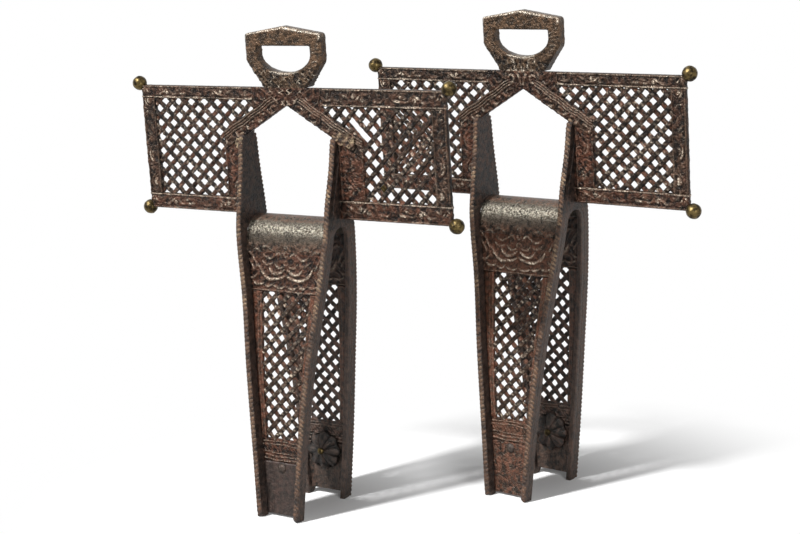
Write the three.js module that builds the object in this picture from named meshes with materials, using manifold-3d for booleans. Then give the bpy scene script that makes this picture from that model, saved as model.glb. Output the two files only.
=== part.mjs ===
// A pair of cruciform stirrups: pierced iron crosses that stand on two splayed legs.
// Millimetres, +Z up. Each stirrup is drawn in its own frame: X across the arms, the front
// face of the cross at Y = 0, its back at +Y, and the floor at Z = 0.

import * as THREE from "three";
import { mergeGeometries, mergeVertices } from "three/addons/utils/BufferGeometryUtils.js";
import Module from "manifold-3d";

const wasm = await Module();
wasm.setup();

// Driving dimensions of the cross
const crossTop = 398;
const crossHeight = 120;
const armSpan = 348;
const crossThickness = 3.6;
const apexDepth = 16.5;
const braceSlope = THREE.MathUtils.degToRad(30);
const braceBand = 16;
const crossBottom = crossTop - crossHeight;
const openingApex = crossTop - apexDepth;

// Borders around the pierced windows of the wings, each forged by hand and so a little
// different, and where the corner of lattice above a brace starts
const leftBorders = { top: 12.5, bottom: 15, inner: 20 };
const rightBorders = { top: 16.8, bottom: 16, inner: 25.5 };
const farRightBorders = { top: 12.5, bottom: 15, inner: 20 };
const outerBorder = 15.5;
const cornerStart = 39;

// Pierced lattices: from a hole to its diagonal neighbour, how far the first hole stands in
// from the window's outer top corner, or on the legs from its bottom, and a hole's half sizes
// as shares of the steps
const wingHoleShares = { x: 0.56, z: 0.61 };
const farHoleShares = { x: 0.52, z: 0.57 };
const legHoleShares = { x: 0.49, z: 0.54 };
const leftLattice = { stepX: 8, stepZ: 6.95, insetX: 12.2, insetZ: 2.6 };
const rightLattice = { stepX: 7.36, stepZ: 7.46, insetX: 4.94, insetZ: 5.76 };
const farRightLattice = { stepX: 7.45, stepZ: 6.9, insetX: 11.7, insetZ: 4.8 };
const legLattice = { stepX: 6.8, stepZ: 6.75, insetZ: 5.5, holeShares: legHoleShares };

// Strap eye, from the cross's top edge up: a neck that flares to its waist, and a low gable
const eyeHeight = 56;
const eyeDepth = 10.5;
const eyeHalfWidth = 43.3;
const eyeSideBar = 13;
const eyeTopBar = 18;
const eyeCrownRise = 6.8;
const eyeWaistHeight = 24;
const eyeSill = 13.5;
const eyeHoleStraight = 8;
const neckHalfWidth = 25;

// Side plates: half widths outside at the foot and the cheek, and the reach of the legs and
// the cheek before and behind the cross. The shares say, at heights up the plate, how far it
// has widened to the cheek, how far the front leg splays and how far the back leg bulges.
const cheekDrop = 42.5;
const sidePlateTop = crossTop - cheekDrop;
const sidePlateThickness = 5.5;
const footHalfWidth = 23.5;
const cheekHalfWidth = 56;
const frontReach = 60.5;
const backReach = 32;
const cheekFront = 5;
const cheekBack = 17;
const sideProfileShares = [
  { height: 0, widening: 0, splay: 1, bulge: 0.667 },
  { height: 0.169, widening: 0.153, splay: 0.883, bulge: 0.933 },
  { height: 0.391, widening: 0.398, splay: 0.703, bulge: 1 },
  { height: 0.577, widening: 0.657, splay: 0.477, bulge: 0.833 },
  { height: 0.737, widening: 0.902, splay: 0.324, bulge: 0.333 },
  { height: 0.821, widening: 0.927, splay: 0.225, bulge: 0.167 },
  { height: 0.914, widening: 0.969, splay: 0.081, bulge: 0.033 },
  { height: 1, widening: 1, splay: 0, bulge: 0 },
];
const cheekRounding = 9;
const frontFlange = 11.8;
const backFlange = 12;
const footRounding = 5;
const footStepShare = 0.4;

// Tread and leg plates. The front plate lies flush with the inner edges of its flanges, and
// the back plate stands in from the back edges of its own.
const strapThickness = 2.6;
const backRecess = 5;
const treadDrop = 0.7;
const noseHeight = 31;
const noseDepthShare = 0.705;
const treadBackShare = 0.24;
const treadBackDrop = 16;
const frontPlateFoot = 2.5;
const backPlateFoot = 6;
const treadTop = crossBottom - treadDrop;
const treadFrontFoot = treadTop - noseHeight;
const treadBackFoot = treadTop - treadBackDrop;

// Arch between the legs of a side plate, under the tread
const archCover = 6.3;
const archHeight = 11;
const archTop = treadTop - archCover;
const archSpring = archTop - archHeight;

// Pierced window of a leg plate, below a panel of ornament, and its borders at the sides
const legWindowFoot = 74;
const ornamentHeight = 36.8;
const legBorderFoot = 6.3;
const legBorderTop = 12;

// Rivet of the front leg, and the rosette with its rivet inside the back leg
const frontRivet = { height: 47, headRadius: 4.6, headRise: 2.6, shankRadius: 1.9 };
const rosette = { height: 45, radius: 19, lobes: 8, lobeDepth: 2.1, rim: 2.4, dome: 6 };
const rosetteRivet = { headRadius: 4, headRise: 2.4, shankRadius: 1.9 };
const tailWidthShare = 1.6;
const tailRiseShare = 0.4;

// Ball finials at the four corners of the cross
const ballRadius = 7.1;
const ballOverhang = 3.4;
const topBallLift = 1.4;

// Clearance between neighbouring pieces, and the overrun of cuts
const gap = 0.3;
const overrun = 100;

// How fine the round shapes and the curved plates are
const ballSides = 12;
const ballRings = 8;
const roundSides = 16;
const shankSides = 8;
const noseSteps = 7;
const cornerSteps = 3;
const archSteps = 4;
const crownSteps = 4;
const lobeSteps = 4;
const levelSpacing = 24;

// How the second stirrup stands behind the first, and how far it is turned
const secondPlace = { x: 171, y: 137 };
const secondTurn = THREE.MathUtils.degToRad(-5.3);

// Broken bars in the lattice of the first stirrup's right wing: the hole that the gap starts
// at, counted inwards and down from the first hole, and how many bars are gone
const brokenBars = { column: 11, row: 1, bars: 2 };

// Materials
const iron = { color: 0x4a3c34, roughness: 0.75, metalness: 0.6 };
const wornIron = { color: 0x77706a, roughness: 0.5, metalness: 0.7 };
const brass = { color: 0x8a6a34, roughness: 0.45, metalness: 0.85 };

// Booleans
function toSolid(geometry) {
  const bare = geometry.clone();
  bare.deleteAttribute("normal");
  bare.deleteAttribute("uv");
  const merged = mergeVertices(bare);
  const vertProperties = new Float32Array(merged.attributes.position.array);
  const triVerts = new Uint32Array(merged.index.array);
  return new wasm.Manifold(new wasm.Mesh({ numProp: 3, vertProperties, triVerts }));
}

function toGeometry(solid) {
  const mesh = solid.getMesh();
  const geometry = new THREE.BufferGeometry();
  geometry.setAttribute("position", new THREE.BufferAttribute(new Float32Array(mesh.vertProperties), 3));
  geometry.setIndex(new THREE.BufferAttribute(new Uint32Array(mesh.triVerts), 1));
  geometry.computeVertexNormals();
  return geometry;
}

function mirrorX(solid) {
  return solid.mirror([1, 0, 0]);
}

// Prisms: an outline in the XZ plane drawn out along Y, and one in the YZ plane along X
function outline(points) {
  return new THREE.Shape(points.map(([a, b]) => new THREE.Vector2(a, b)));
}

function mirrored(points) {
  return points.map(([a, b]) => [-a, b]).reverse();
}

function prismAlongY(shape, low, high) {
  const geometry = new THREE.ExtrudeGeometry(shape, { depth: high - low, bevelEnabled: false });
  geometry.rotateX(Math.PI / 2);
  geometry.translate(0, high, 0);
  return geometry;
}

function prismAlongX(shape, low, high) {
  const geometry = new THREE.ExtrudeGeometry(shape, { depth: high - low, bevelEnabled: false });
  const across = new THREE.Vector3(1, 0, 0);
  const back = new THREE.Vector3(0, 1, 0);
  const up = new THREE.Vector3(0, 0, 1);
  geometry.applyMatrix4(new THREE.Matrix4().makeBasis(back, up, across));
  geometry.translate(low, 0, 0);
  return geometry;
}

// A share of the side plates' profile at a height, by a smooth curve through the table
function profileShare(key, z) {
  const table = sideProfileShares;
  const last = table.length - 1;
  const at = Math.min(Math.max(z / sidePlateTop, 0), 1);
  let i = 0;
  while (i < last - 1 && at > table[i + 1].height) {
    i += 1;
  }
  const slopeAt = (n) => {
    const before = table[Math.max(n - 1, 0)];
    const after = table[Math.min(n + 1, last)];
    return (after[key] - before[key]) / (after.height - before.height);
  };
  const a = table[i];
  const b = table[i + 1];
  const span = b.height - a.height;
  const t = (at - a.height) / span;
  const t2 = t * t;
  const t3 = t2 * t;
  const pull = (t3 - 2 * t2 + t) * slopeAt(i) + (t3 - t2) * slopeAt(i + 1);
  return (2 * t3 - 3 * t2 + 1) * a[key] + (3 * t2 - 2 * t3) * b[key] + pull * span;
}

// The side plates' outer face, front edge and back edge at a height
function halfWidthAt(z) {
  return footHalfWidth + (cheekHalfWidth - footHalfWidth) * profileShare("widening", z);
}

function frontEdge(z) {
  return -cheekFront - (frontReach - cheekFront) * profileShare("splay", z);
}

function backEdge(z) {
  return cheekBack + (backReach - cheekBack) * profileShare("bulge", z);
}

// Heights at which the side plates and the leg plates have their corners
function evenLevels(low, high) {
  const count = Math.max(1, Math.round((high - low) / levelSpacing));
  return Array.from({ length: count }, (_, i) => low + ((high - low) * i) / count);
}

function arcLevels(low, high, steps) {
  return Array.from({ length: steps }, (_, i) => low + (high - low) * Math.sin((Math.PI / 2) * (i / steps)));
}

const sideLevels = [
  0,
  footRounding * footStepShare,
  ...evenLevels(footRounding, archSpring),
  ...arcLevels(archSpring, archTop, archSteps),
  ...evenLevels(archTop, sidePlateTop - cheekRounding),
  ...arcLevels(sidePlateTop - cheekRounding, sidePlateTop, crownSteps),
  sidePlateTop,
];

// How far a rounded corner draws an edge in, at a distance from the end of the plate
function roundingInset(radius, fromEnd) {
  const rise = radius - Math.min(Math.max(fromEnd, 0), radius);
  return radius - Math.sqrt(radius * radius - rise * rise);
}

// The Y values of a side plate at a height: front edge, inner edges of the legs and back edge
function sideEdges(z) {
  const drawnIn = roundingInset(cheekRounding, sidePlateTop - z) + roundingInset(footRounding, z);
  const front = frontEdge(z) + drawnIn;
  const back = backEdge(z) - drawnIn;
  if (z <= archSpring) {
    return [front, frontEdge(z) + frontFlange, backEdge(z) - backFlange, back];
  }
  if (z > archTop) {
    const middle = (front + back) / 2;
    return [front, middle, middle, back];
  }
  const springFront = frontEdge(archSpring) + frontFlange;
  const springBack = backEdge(archSpring) - backFlange;
  const centre = (springFront + springBack) / 2;
  const rise = (z - archSpring) / (archTop - archSpring);
  const open = ((springBack - springFront) / 2) * Math.sqrt(1 - rise * rise);
  return [front, centre - open, centre + open, back];
}

// A side plate from its levels: cheek, arch and two legs in one. side is -1 on the left and 1
// on the right, and grow makes the plate larger all round, to cut its neighbours with it.
function sidePlate(side, levels = sideLevels, grow = 0) {
  const corners = [];
  const face = (...points) => {
    const [a, b, c, d] = side > 0 ? points : points.reverse();
    corners.push(...a, ...b, ...c, ...a, ...c, ...d);
  };
  const rows = levels.map((z) => {
    const [front, frontInner, backInner, back] = sideEdges(z);
    const outer = side * (halfWidthAt(z) + grow);
    const inner = side * (halfWidthAt(z) - sidePlateThickness - grow);
    const edges = [front - grow, frontInner, backInner, back + grow];
    return edges.map((y) => ({ outer: [outer, y, z], inner: [inner, y, z] }));
  });
  for (let i = 0; i < rows.length - 1; i += 1) {
    const low = rows[i];
    const high = rows[i + 1];
    for (const [f, b] of [[0, 1], [2, 3]]) {
      face(low[f].outer, low[b].outer, high[b].outer, high[f].outer);
      face(low[b].inner, low[f].inner, high[f].inner, high[b].inner);
    }
    const legsApart = low[1].outer[1] < low[2].outer[1];
    for (const n of legsApart ? [0, 2] : [0]) {
      face(low[n].inner, low[n].outer, high[n].outer, high[n].inner);
    }
    for (const n of legsApart ? [1, 3] : [3]) {
      face(low[n].outer, low[n].inner, high[n].inner, high[n].outer);
    }
  }
  const bottom = rows[0];
  const top = rows[rows.length - 1];
  for (const [f, b] of [[0, 1], [2, 3]]) {
    face(bottom[f].inner, bottom[b].inner, bottom[b].outer, bottom[f].outer);
    face(top[f].inner, top[f].outer, top[b].outer, top[b].inner);
  }
  const geometry = new THREE.BufferGeometry();
  geometry.setAttribute("position", new THREE.Float32BufferAttribute(corners, 3));
  return mergeVertices(geometry);
}

// The part of a side plate that passes through the cross, grown by the clearance
function cheekCutter(side) {
  const from = archTop + gap;
  const levels = [from, ...sideLevels.filter((z) => z > from + gap), sidePlateTop + gap];
  return toSolid(sidePlate(side, levels, gap));
}

// The corners of a diamond hole about its centre
function diamondCorners(lattice, x, z) {
  const halfX = lattice.holeShares.x * lattice.stepX;
  const halfZ = lattice.holeShares.z * lattice.stepZ;
  return { left: [x - halfX, z], bottom: [x, z - halfZ], right: [x + halfX, z], top: [x, z + halfZ] };
}

// Diamond holes in a quincunx, as one set of prisms. They are counted from the first hole, and
// a hole is made where its centre lies inside the window.
function diamondPrisms(lattice, first, columns, rows, isInside) {
  const prisms = [];
  for (let i = columns.from; i <= columns.to; i += 1) {
    for (let j = rows.from; j <= rows.to; j += 1) {
      const x = first.x + lattice.stepX * i;
      const z = first.z + lattice.stepZ * j;
      const isHole = (i + j) % 2 === 0 && isInside(x, z);
      if (isHole) {
        const { left, bottom, right, top } = diamondCorners(lattice, x, z);
        prisms.push(prismAlongY(outline([left, bottom, right, top]), -overrun, overrun));
      }
    }
  }
  return toSolid(mergeGeometries(prisms));
}

// Braces over the foot opening: their lower and upper edges at a distance from the centre
function braceLower(x) {
  return openingApex - Math.tan(braceSlope) * x;
}

function braceUpper(x) {
  return braceLower(x) + braceBand / Math.cos(braceSlope);
}

// The pierced area on the right: the wing's window and the corner above the brace
const windowOuter = armSpan / 2 - outerBorder;

function windowEdges({ borders }) {
  const inner = cheekHalfWidth + borders.inner;
  return { inner, bottom: crossBottom + borders.bottom, top: crossTop - borders.top };
}

function firstHole(lattice) {
  return { x: windowOuter - lattice.insetX, z: windowEdges(lattice).top - lattice.insetZ };
}

function wingHoles(lattice) {
  const { inner, bottom, top } = windowEdges(lattice);
  const windowPoints = [
    [inner, bottom],
    [windowOuter, bottom],
    [windowOuter, top],
    [cornerStart, top],
    [cornerStart, braceUpper(cornerStart)],
    [inner, braceUpper(inner)],
  ];
  const first = firstHole(lattice);
  const columns = {
    from: Math.ceil((cornerStart - first.x) / lattice.stepX),
    to: Math.floor((windowOuter - first.x) / lattice.stepX),
  };
  const rows = {
    from: Math.ceil((bottom - first.z) / lattice.stepZ),
    to: Math.floor((top - first.z) / lattice.stepZ),
  };
  const isInside = (x, z) => x > inner || z > braceUpper(x);
  const holes = diamondPrisms(lattice, first, columns, rows, isInside);
  return holes.intersect(toSolid(prismAlongY(outline(windowPoints), -overrun, overrun)));
}

// The wings meet the gable in the middle of the side plates
const gableHalfWidth = halfWidthAt(sidePlateTop) - sidePlateThickness / 2;

// Gable: the two braces under the neck, with the corners of the lattice above them
function gable(lattices) {
  const half = [
    [gableHalfWidth, braceLower(gableHalfWidth)],
    [gableHalfWidth, crossTop],
  ];
  const points = [[0, openingApex], ...half, ...mirrored(half)];
  const solid = toSolid(prismAlongY(outline(points), 0, crossThickness));
  const pierced = solid.subtract(wingHoles(lattices.right)).subtract(mirrorX(wingHoles(lattices.left)));
  return toGeometry(pierced.subtract(cheekCutter(1)).subtract(cheekCutter(-1)));
}

// Wing: a square pierced plate from the side plate out to the end of the arm
function wing(side, lattice, broken) {
  const root = halfWidthAt(crossBottom) - sidePlateThickness / 2;
  const inside = gableHalfWidth + gap;
  const points = [
    [root, crossBottom],
    [armSpan / 2, crossBottom],
    [armSpan / 2, crossTop],
    [inside, crossTop],
    [inside, sidePlateTop - cheekRounding],
  ];
  let solid = toSolid(prismAlongY(outline(points), 0, crossThickness));
  solid = solid.subtract(wingHoles(lattice)).subtract(cheekCutter(1));
  if (broken) {
    solid = solid.subtract(brokenGap(lattice, broken));
  }
  return toGeometry(side > 0 ? solid : mirrorX(solid));
}

// The slot that broken bars leave in the lattice of a wing, from a hole outwards and down
function brokenGap(lattice, { column, row, bars }) {
  const { x, z } = firstHole(lattice);
  const { stepX, stepZ } = lattice;
  const start = diamondCorners(lattice, x - stepX * column, z - stepZ * row);
  const end = diamondCorners(lattice, x - stepX * (column - bars), z - stepZ * (row + bars));
  return toSolid(prismAlongY(outline([start.left, end.bottom, end.right, start.top]), -overrun, overrun));
}

// Strap eye: a flared ring with a hole that is flat at the top and round below
function strapEye() {
  const peak = crossTop + eyeHeight;
  const half = [
    [neckHalfWidth, crossTop + gap],
    [eyeHalfWidth, crossTop + eyeWaistHeight],
    [eyeHalfWidth, peak - eyeCrownRise],
  ];
  const shape = outline([...half, [0, peak], ...mirrored(half)]);
  shape.holes.push(eyeHole());
  return prismAlongY(shape, 0, eyeDepth);
}

function eyeHole() {
  const halfWidth = eyeHalfWidth - eyeSideBar;
  const top = crossTop + eyeHeight - eyeTopBar;
  const spring = top - eyeHoleStraight;
  const depth = spring - crossTop - eyeSill;
  const hole = new THREE.Path();
  hole.moveTo(-halfWidth, top);
  hole.lineTo(-halfWidth, spring);
  hole.absellipse(0, spring, halfWidth, depth, Math.PI, 2 * Math.PI, false, 0);
  hole.lineTo(halfWidth, top);
  return hole;
}

// Leg plates and tread: sections in the YZ plane, as wide as the side plates leave them
function betweenSidePlates() {
  const right = sideLevels.map((z) => [halfWidthAt(z) - sidePlateThickness - gap, z]);
  return toSolid(prismAlongY(outline([...right, ...mirrored(right)]), -overrun, overrun));
}

const strapWidth = betweenSidePlates();

function frontSurface(z) {
  return frontEdge(z) + frontFlange - strapThickness;
}

function backSurface(z) {
  return backEdge(z) - backRecess;
}

function legPlate(surface, inward, low, high) {
  const heights = [low, ...evenLevels(low + footRounding, high), high];
  const outside = heights.map((z) => [surface(z), z]);
  const inside = heights.map((z) => [surface(z) + inward * strapThickness, z]).reverse();
  const section = prismAlongX(outline([...outside, ...inside]), -overrun, overrun);
  return toSolid(section).intersect(strapWidth);
}

function legHoles() {
  const bottom = legWindowFoot;
  const top = treadFrontFoot - ornamentHeight;
  const halfBottom = halfWidthAt(bottom) - sidePlateThickness - legBorderFoot;
  const halfTop = halfWidthAt(top) - sidePlateThickness - legBorderTop;
  const windowPoints = [[-halfBottom, bottom], [halfBottom, bottom], [halfTop, top], [-halfTop, top]];
  const reach = Math.ceil(halfTop / legLattice.stepX);
  const columns = { from: -reach, to: reach };
  const first = { x: legLattice.stepX / 2, z: bottom + legLattice.insetZ };
  const rows = { from: 0, to: Math.floor((top - first.z) / legLattice.stepZ) };
  const isInside = (x, z) => {
    const widened = (z - bottom) / (top - bottom);
    return Math.abs(x) < halfBottom + (halfTop - halfBottom) * widened;
  };
  const holes = diamondPrisms(legLattice, first, columns, rows, isInside);
  return holes.intersect(toSolid(prismAlongY(outline(windowPoints), -overrun, overrun)));
}

const pairedHoles = legHoles();

// Turn about X that sets a piece which points to -Y square to a leg plate at a height
function plateTilt(surface, z) {
  const slope = surface(z + levelSpacing / 2) - surface(z - levelSpacing / 2);
  return -Math.atan2(slope, levelSpacing);
}

function shankHole(radius) {
  return new THREE.CylinderGeometry(radius + gap, radius + gap, 2 * overrun, shankSides);
}

function plateShankHole(radius, surface, z) {
  const cutter = shankHole(radius);
  cutter.rotateX(plateTilt(surface, z));
  cutter.translate(0, surface(z), z);
  return toSolid(cutter);
}

function frontLegPlate() {
  const plate = legPlate(frontSurface, 1, frontPlateFoot, treadFrontFoot - gap);
  const shank = plateShankHole(frontRivet.shankRadius, frontSurface, frontRivet.height);
  return toGeometry(plate.subtract(pairedHoles).subtract(shank));
}

function backLegPlate() {
  const plate = legPlate(backSurface, -1, backPlateFoot, treadBackFoot - gap);
  const shank = plateShankHole(rosetteRivet.shankRadius, backSurface, rosette.height);
  return toGeometry(plate.subtract(pairedHoles).subtract(shank));
}

// Tread: a rounded nose, a level top and a tighter bend down to the back plate
function treadEdge(offset) {
  const points = [];
  const front = frontSurface(treadFrontFoot);
  const back = backSurface(treadBackFoot);
  const noseDepth = (back - front) * noseDepthShare;
  const backRadius = (back - front) * treadBackShare;
  const noseCentre = front + noseDepth;
  for (let i = 0; i <= noseSteps; i += 1) {
    const angle = (Math.PI / 2) * (i / noseSteps);
    const y = noseCentre - (noseDepth - offset) * Math.cos(angle);
    points.push([y, treadFrontFoot + (noseHeight - offset) * Math.sin(angle)]);
  }
  for (let i = 0; i <= cornerSteps; i += 1) {
    const angle = (Math.PI / 2) * (1 - i / cornerSteps);
    const radius = backRadius - offset;
    const y = back - backRadius + radius * Math.cos(angle);
    points.push([y, treadTop - backRadius + radius * Math.sin(angle)]);
  }
  points.push([back - offset, treadBackFoot]);
  return points;
}

function tread() {
  const section = outline([...treadEdge(0).reverse(), ...treadEdge(strapThickness)]);
  const solid = toSolid(prismAlongX(section, -overrun, overrun));
  return toGeometry(solid.intersect(strapWidth));
}

// Rivet with a domed head that points to -Y from the origin, a shank, and a tail behind its grip
function rivet({ headRadius, headRise, shankRadius }, grip) {
  const tailRadius = shankRadius * tailWidthShare;
  const tailEnd = -grip - headRise * tailRiseShare;
  const points = [
    new THREE.Vector2(0, tailEnd),
    new THREE.Vector2(tailRadius, tailEnd),
    new THREE.Vector2(tailRadius, -grip),
    new THREE.Vector2(shankRadius, -grip),
    new THREE.Vector2(shankRadius, 0),
  ];
  for (let i = 0; i < crownSteps; i += 1) {
    const angle = (Math.PI / 2) * (i / crownSteps);
    points.push(new THREE.Vector2(headRadius * Math.cos(angle), headRise * Math.sin(angle)));
  }
  points.push(new THREE.Vector2(0, headRise));
  const geometry = new THREE.LatheGeometry(points, shankSides);
  geometry.rotateX(Math.PI);
  return geometry;
}

// Rosette: a lobed disc that rises to a low dome towards -Y, bored for its rivet
function rosetteDisc() {
  const { radius, lobes, lobeDepth, rim, dome } = rosette;
  const lobed = [];
  for (let i = 0; i < lobes * lobeSteps; i += 1) {
    const angle = (2 * Math.PI * i) / (lobes * lobeSteps);
    const r = radius - lobeDepth * Math.sin((lobes * angle) / 2) ** 2;
    lobed.push([r * Math.cos(angle), r * Math.sin(angle)]);
  }
  const profile = [new THREE.Vector2(0, 0), new THREE.Vector2(radius, 0)];
  for (let i = 0; i < crownSteps; i += 1) {
    const angle = (Math.PI / 2) * (i / crownSteps);
    profile.push(new THREE.Vector2(radius * Math.cos(angle), rim + dome * Math.sin(angle)));
  }
  profile.push(new THREE.Vector2(0, rim + dome));
  const domed = new THREE.LatheGeometry(profile, roundSides);
  domed.rotateX(Math.PI);
  const disc = toSolid(prismAlongY(outline(lobed), -overrun, 0)).intersect(toSolid(domed));
  return toGeometry(disc.subtract(toSolid(shankHole(rosetteRivet.shankRadius))));
}

// Ball finial: cast round the corner of a wing, which stands in a slot of the ball
function ballFinial(side, atTop) {
  const ball = new THREE.SphereGeometry(ballRadius, ballSides, ballRings);
  ball.rotateX(Math.PI / 2);
  const reach = 2 * ballRadius;
  const slot = new THREE.BoxGeometry(reach, crossThickness + 2 * gap, reach);
  const slotX = gap - ballOverhang - ballRadius;
  if (atTop) {
    slot.translate(slotX, 0, gap - topBallLift - ballRadius);
  } else {
    slot.translate(slotX, 0, ballRadius - gap);
  }
  const z = atTop ? crossTop + topBallLift : crossBottom;
  const solid = toSolid(ball).subtract(toSolid(slot));
  const placed = toGeometry(solid.translate([armSpan / 2 + ballOverhang, crossThickness / 2, z]));
  return side > 0 ? placed : toGeometry(mirrorX(toSolid(placed)));
}

// One stirrup as a group of named pieces
function stirrup(name, lattices, broken) {
  const group = new THREE.Group();
  const add = (piece, geometry, look) => {
    const mesh = new THREE.Mesh(geometry, new THREE.MeshStandardMaterial(look));
    mesh.name = `${name}_${piece}`;
    group.add(mesh);
    return mesh;
  };
  add("strap_eye", strapEye(), iron);
  add("gable", gable(lattices), iron);
  add("left_wing", wing(-1, lattices.left), iron);
  add("right_wing", wing(1, lattices.right, broken), iron);
  add("left_side_plate", sidePlate(-1), iron);
  add("right_side_plate", sidePlate(1), iron);
  add("tread", tread(), wornIron);
  add("front_leg_plate", frontLegPlate(), iron);
  add("back_leg_plate", backLegPlate(), iron);
  addFrontRivet(add);
  addRosette(add);
  add("top_left_ball", ballFinial(-1, true), brass);
  add("top_right_ball", ballFinial(1, true), brass);
  add("bottom_left_ball", ballFinial(-1, false), brass);
  add("bottom_right_ball", ballFinial(1, false), brass);
  return group;
}

function addFrontRivet(add) {
  const { height } = frontRivet;
  const head = add("front_rivet", rivet(frontRivet, strapThickness + 2 * gap), iron);
  head.position.set(0, frontSurface(height) - gap, height);
  head.rotation.x = plateTilt(frontSurface, height);
}

// The rosette lies on the inner face of the back leg plate, and its rivet holds it there
function addRosette(add) {
  const { height, rim, dome } = rosette;
  const seat = backSurface(height) - strapThickness - gap;
  const tilt = plateTilt(backSurface, height);
  const disc = add("rosette", rosetteDisc(), iron);
  disc.position.set(0, seat, height);
  disc.rotation.x = tilt;

  const stack = rim + dome + gap;
  const pin = add("rosette_rivet", rivet(rosetteRivet, stack + strapThickness + 2 * gap), brass);
  pin.position.set(0, seat - stack * Math.cos(tilt), height - stack * Math.sin(tilt));
  pin.rotation.x = tilt;
}

// The pair: the second stirrup stands behind and to the right of the first
const leftWing = { ...leftLattice, holeShares: wingHoleShares, borders: leftBorders };
const rightWing = { ...rightLattice, holeShares: wingHoleShares, borders: rightBorders };
const farRightWing = { ...farRightLattice, holeShares: farHoleShares, borders: farRightBorders };
const first = stirrup("left_stirrup", { left: leftWing, right: rightWing }, brokenBars);
const second = stirrup("right_stirrup", { left: leftWing, right: farRightWing });
second.position.set(secondPlace.x, secondPlace.y, 0);
second.rotation.z = secondTurn;

const pair = new THREE.Group();
pair.add(first, second);
pair.updateMatrixWorld(true);
const box = new THREE.Box3().setFromObject(pair, true);
const middle = box.getCenter(new THREE.Vector3());
pair.position.set(-middle.x, -middle.y, -box.min.z);

export default pair;
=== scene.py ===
# %% [markdown]
# # A pair of cruciform stirrups
# Two old riding stirrups of chiselled wrought iron stand one behind the other on a pale floor.
# Each is a cross of pierced plate with a strap eye on top, brass balls at its four corners, and
# two splayed legs under a rounded tread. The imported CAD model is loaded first, as a fixed frame
# in metres. Every piece made below stands where one of its nodes is.

# %% Load the frame
import math

import bpy
import numpy as np
from mathutils import Matrix, Vector


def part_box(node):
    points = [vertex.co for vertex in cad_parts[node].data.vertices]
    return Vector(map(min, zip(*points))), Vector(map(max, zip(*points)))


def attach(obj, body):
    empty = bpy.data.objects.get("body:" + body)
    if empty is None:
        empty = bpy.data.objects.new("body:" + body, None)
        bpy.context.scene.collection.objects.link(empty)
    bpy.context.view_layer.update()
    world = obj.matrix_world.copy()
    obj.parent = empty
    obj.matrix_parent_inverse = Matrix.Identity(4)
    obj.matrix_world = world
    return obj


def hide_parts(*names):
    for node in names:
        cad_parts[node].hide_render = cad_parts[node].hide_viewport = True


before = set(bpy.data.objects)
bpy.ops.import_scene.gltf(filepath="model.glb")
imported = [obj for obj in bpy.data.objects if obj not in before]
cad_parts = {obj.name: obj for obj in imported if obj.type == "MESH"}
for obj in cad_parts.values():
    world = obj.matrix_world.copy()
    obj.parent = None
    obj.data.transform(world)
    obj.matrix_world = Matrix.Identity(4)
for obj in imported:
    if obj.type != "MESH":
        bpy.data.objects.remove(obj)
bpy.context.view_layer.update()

MM = 0.001

# %% [markdown]
# ## Where each stirrup stands
# A stirrup is drawn once, in millimetres, in a frame of its own: X runs across the arms, the
# front of the cross is at Y = 0 and the floor at Z = 0. The strap eye's box in the CAD says
# where each frame's origin is. The far stirrup is turned a few degrees, as it stands in the pair.

# %% Find both stirrups' origins
EYE_DEPTH = 10.5


def origin_of(eye_node, turn):
    low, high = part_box(eye_node)
    middle = (low + high) / 2
    to_middle = Matrix.Rotation(turn, 3, "Z") @ Vector((0, EYE_DEPTH / 2 * MM, 0))
    return Vector((middle.x - to_middle.x, middle.y - to_middle.y, 0))


FAR_TURN = math.radians(-5.3)
STIRRUPS = {
    "left_stirrup": {"turn": 0.0, "origin": origin_of("left_stirrup_strap_eye", 0.0)},
    "right_stirrup": {"turn": FAR_TURN, "origin": origin_of("right_stirrup_strap_eye", FAR_TURN)},
}
for name, place in STIRRUPS.items():
    print(name, "stands at", [round(v, 4) for v in place["origin"]])

# %% [markdown]
# ## Sizes
# These are the sizes of the CAD source, written again because this script can't read it. The
# side plates' outline runs through a short table of shares by a smooth curve, so that the legs
# bend as the real forged ones do.

# %% Sizes of the cross and the eye, in millimetres
ARM = 174.0
CROSS_TOP = 398.0
CROSS_BOTTOM = 278.0
CROSS_THICKNESS = 3.6
WINDOW_OUTER = 158.5
CORNER_START = 39.0
USUAL_WINDOW = {"inner": 76.0, "bottom": 293.0, "top": 385.5}
WINDOWS = {
    "left": USUAL_WINDOW,
    "right": {"inner": 82.9, "bottom": 295.8, "top": 381.2},
    "far_right": USUAL_WINDOW,
}
APEX = 381.5
BRACE_SLOPE = math.radians(30)
BRACE_TAN, BRACE_COS = math.tan(BRACE_SLOPE), math.cos(BRACE_SLOPE)
BRACE_BAND = 16.0
BRACE_RISE = BRACE_BAND / BRACE_COS
EYE_TOP = 454.0

# %% Sizes of the side plates, legs and tread, in millimetres
SIDE_TOP = 355.5
PLATE_THICKNESS = 5.5
FOOT_HALF, CHEEK_HALF = 23.5, 56.0
FRONT_REACH, BACK_REACH = 60.5, 32.0
CHEEK_FRONT, CHEEK_BACK = 5.0, 17.0
CHEEK_ROUNDING, FOOT_ROUNDING = 9.0, 5.0
FRONT_FLANGE, BACK_FLANGE = 11.8, 12.0
STRAP_THICKNESS = 2.6
BACK_RECESS = 5.0
TREAD_TOP = 277.3
TREAD_FRONT_FOOT, TREAD_BACK_FOOT = 246.3, 261.3
ARCH_TOP, ARCH_SPRING = 271.0, 260.0
PIECE_GAP = 0.3
LEG_WINDOW_FOOT, LEG_WINDOW_TOP = 74.0, 209.5
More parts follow.
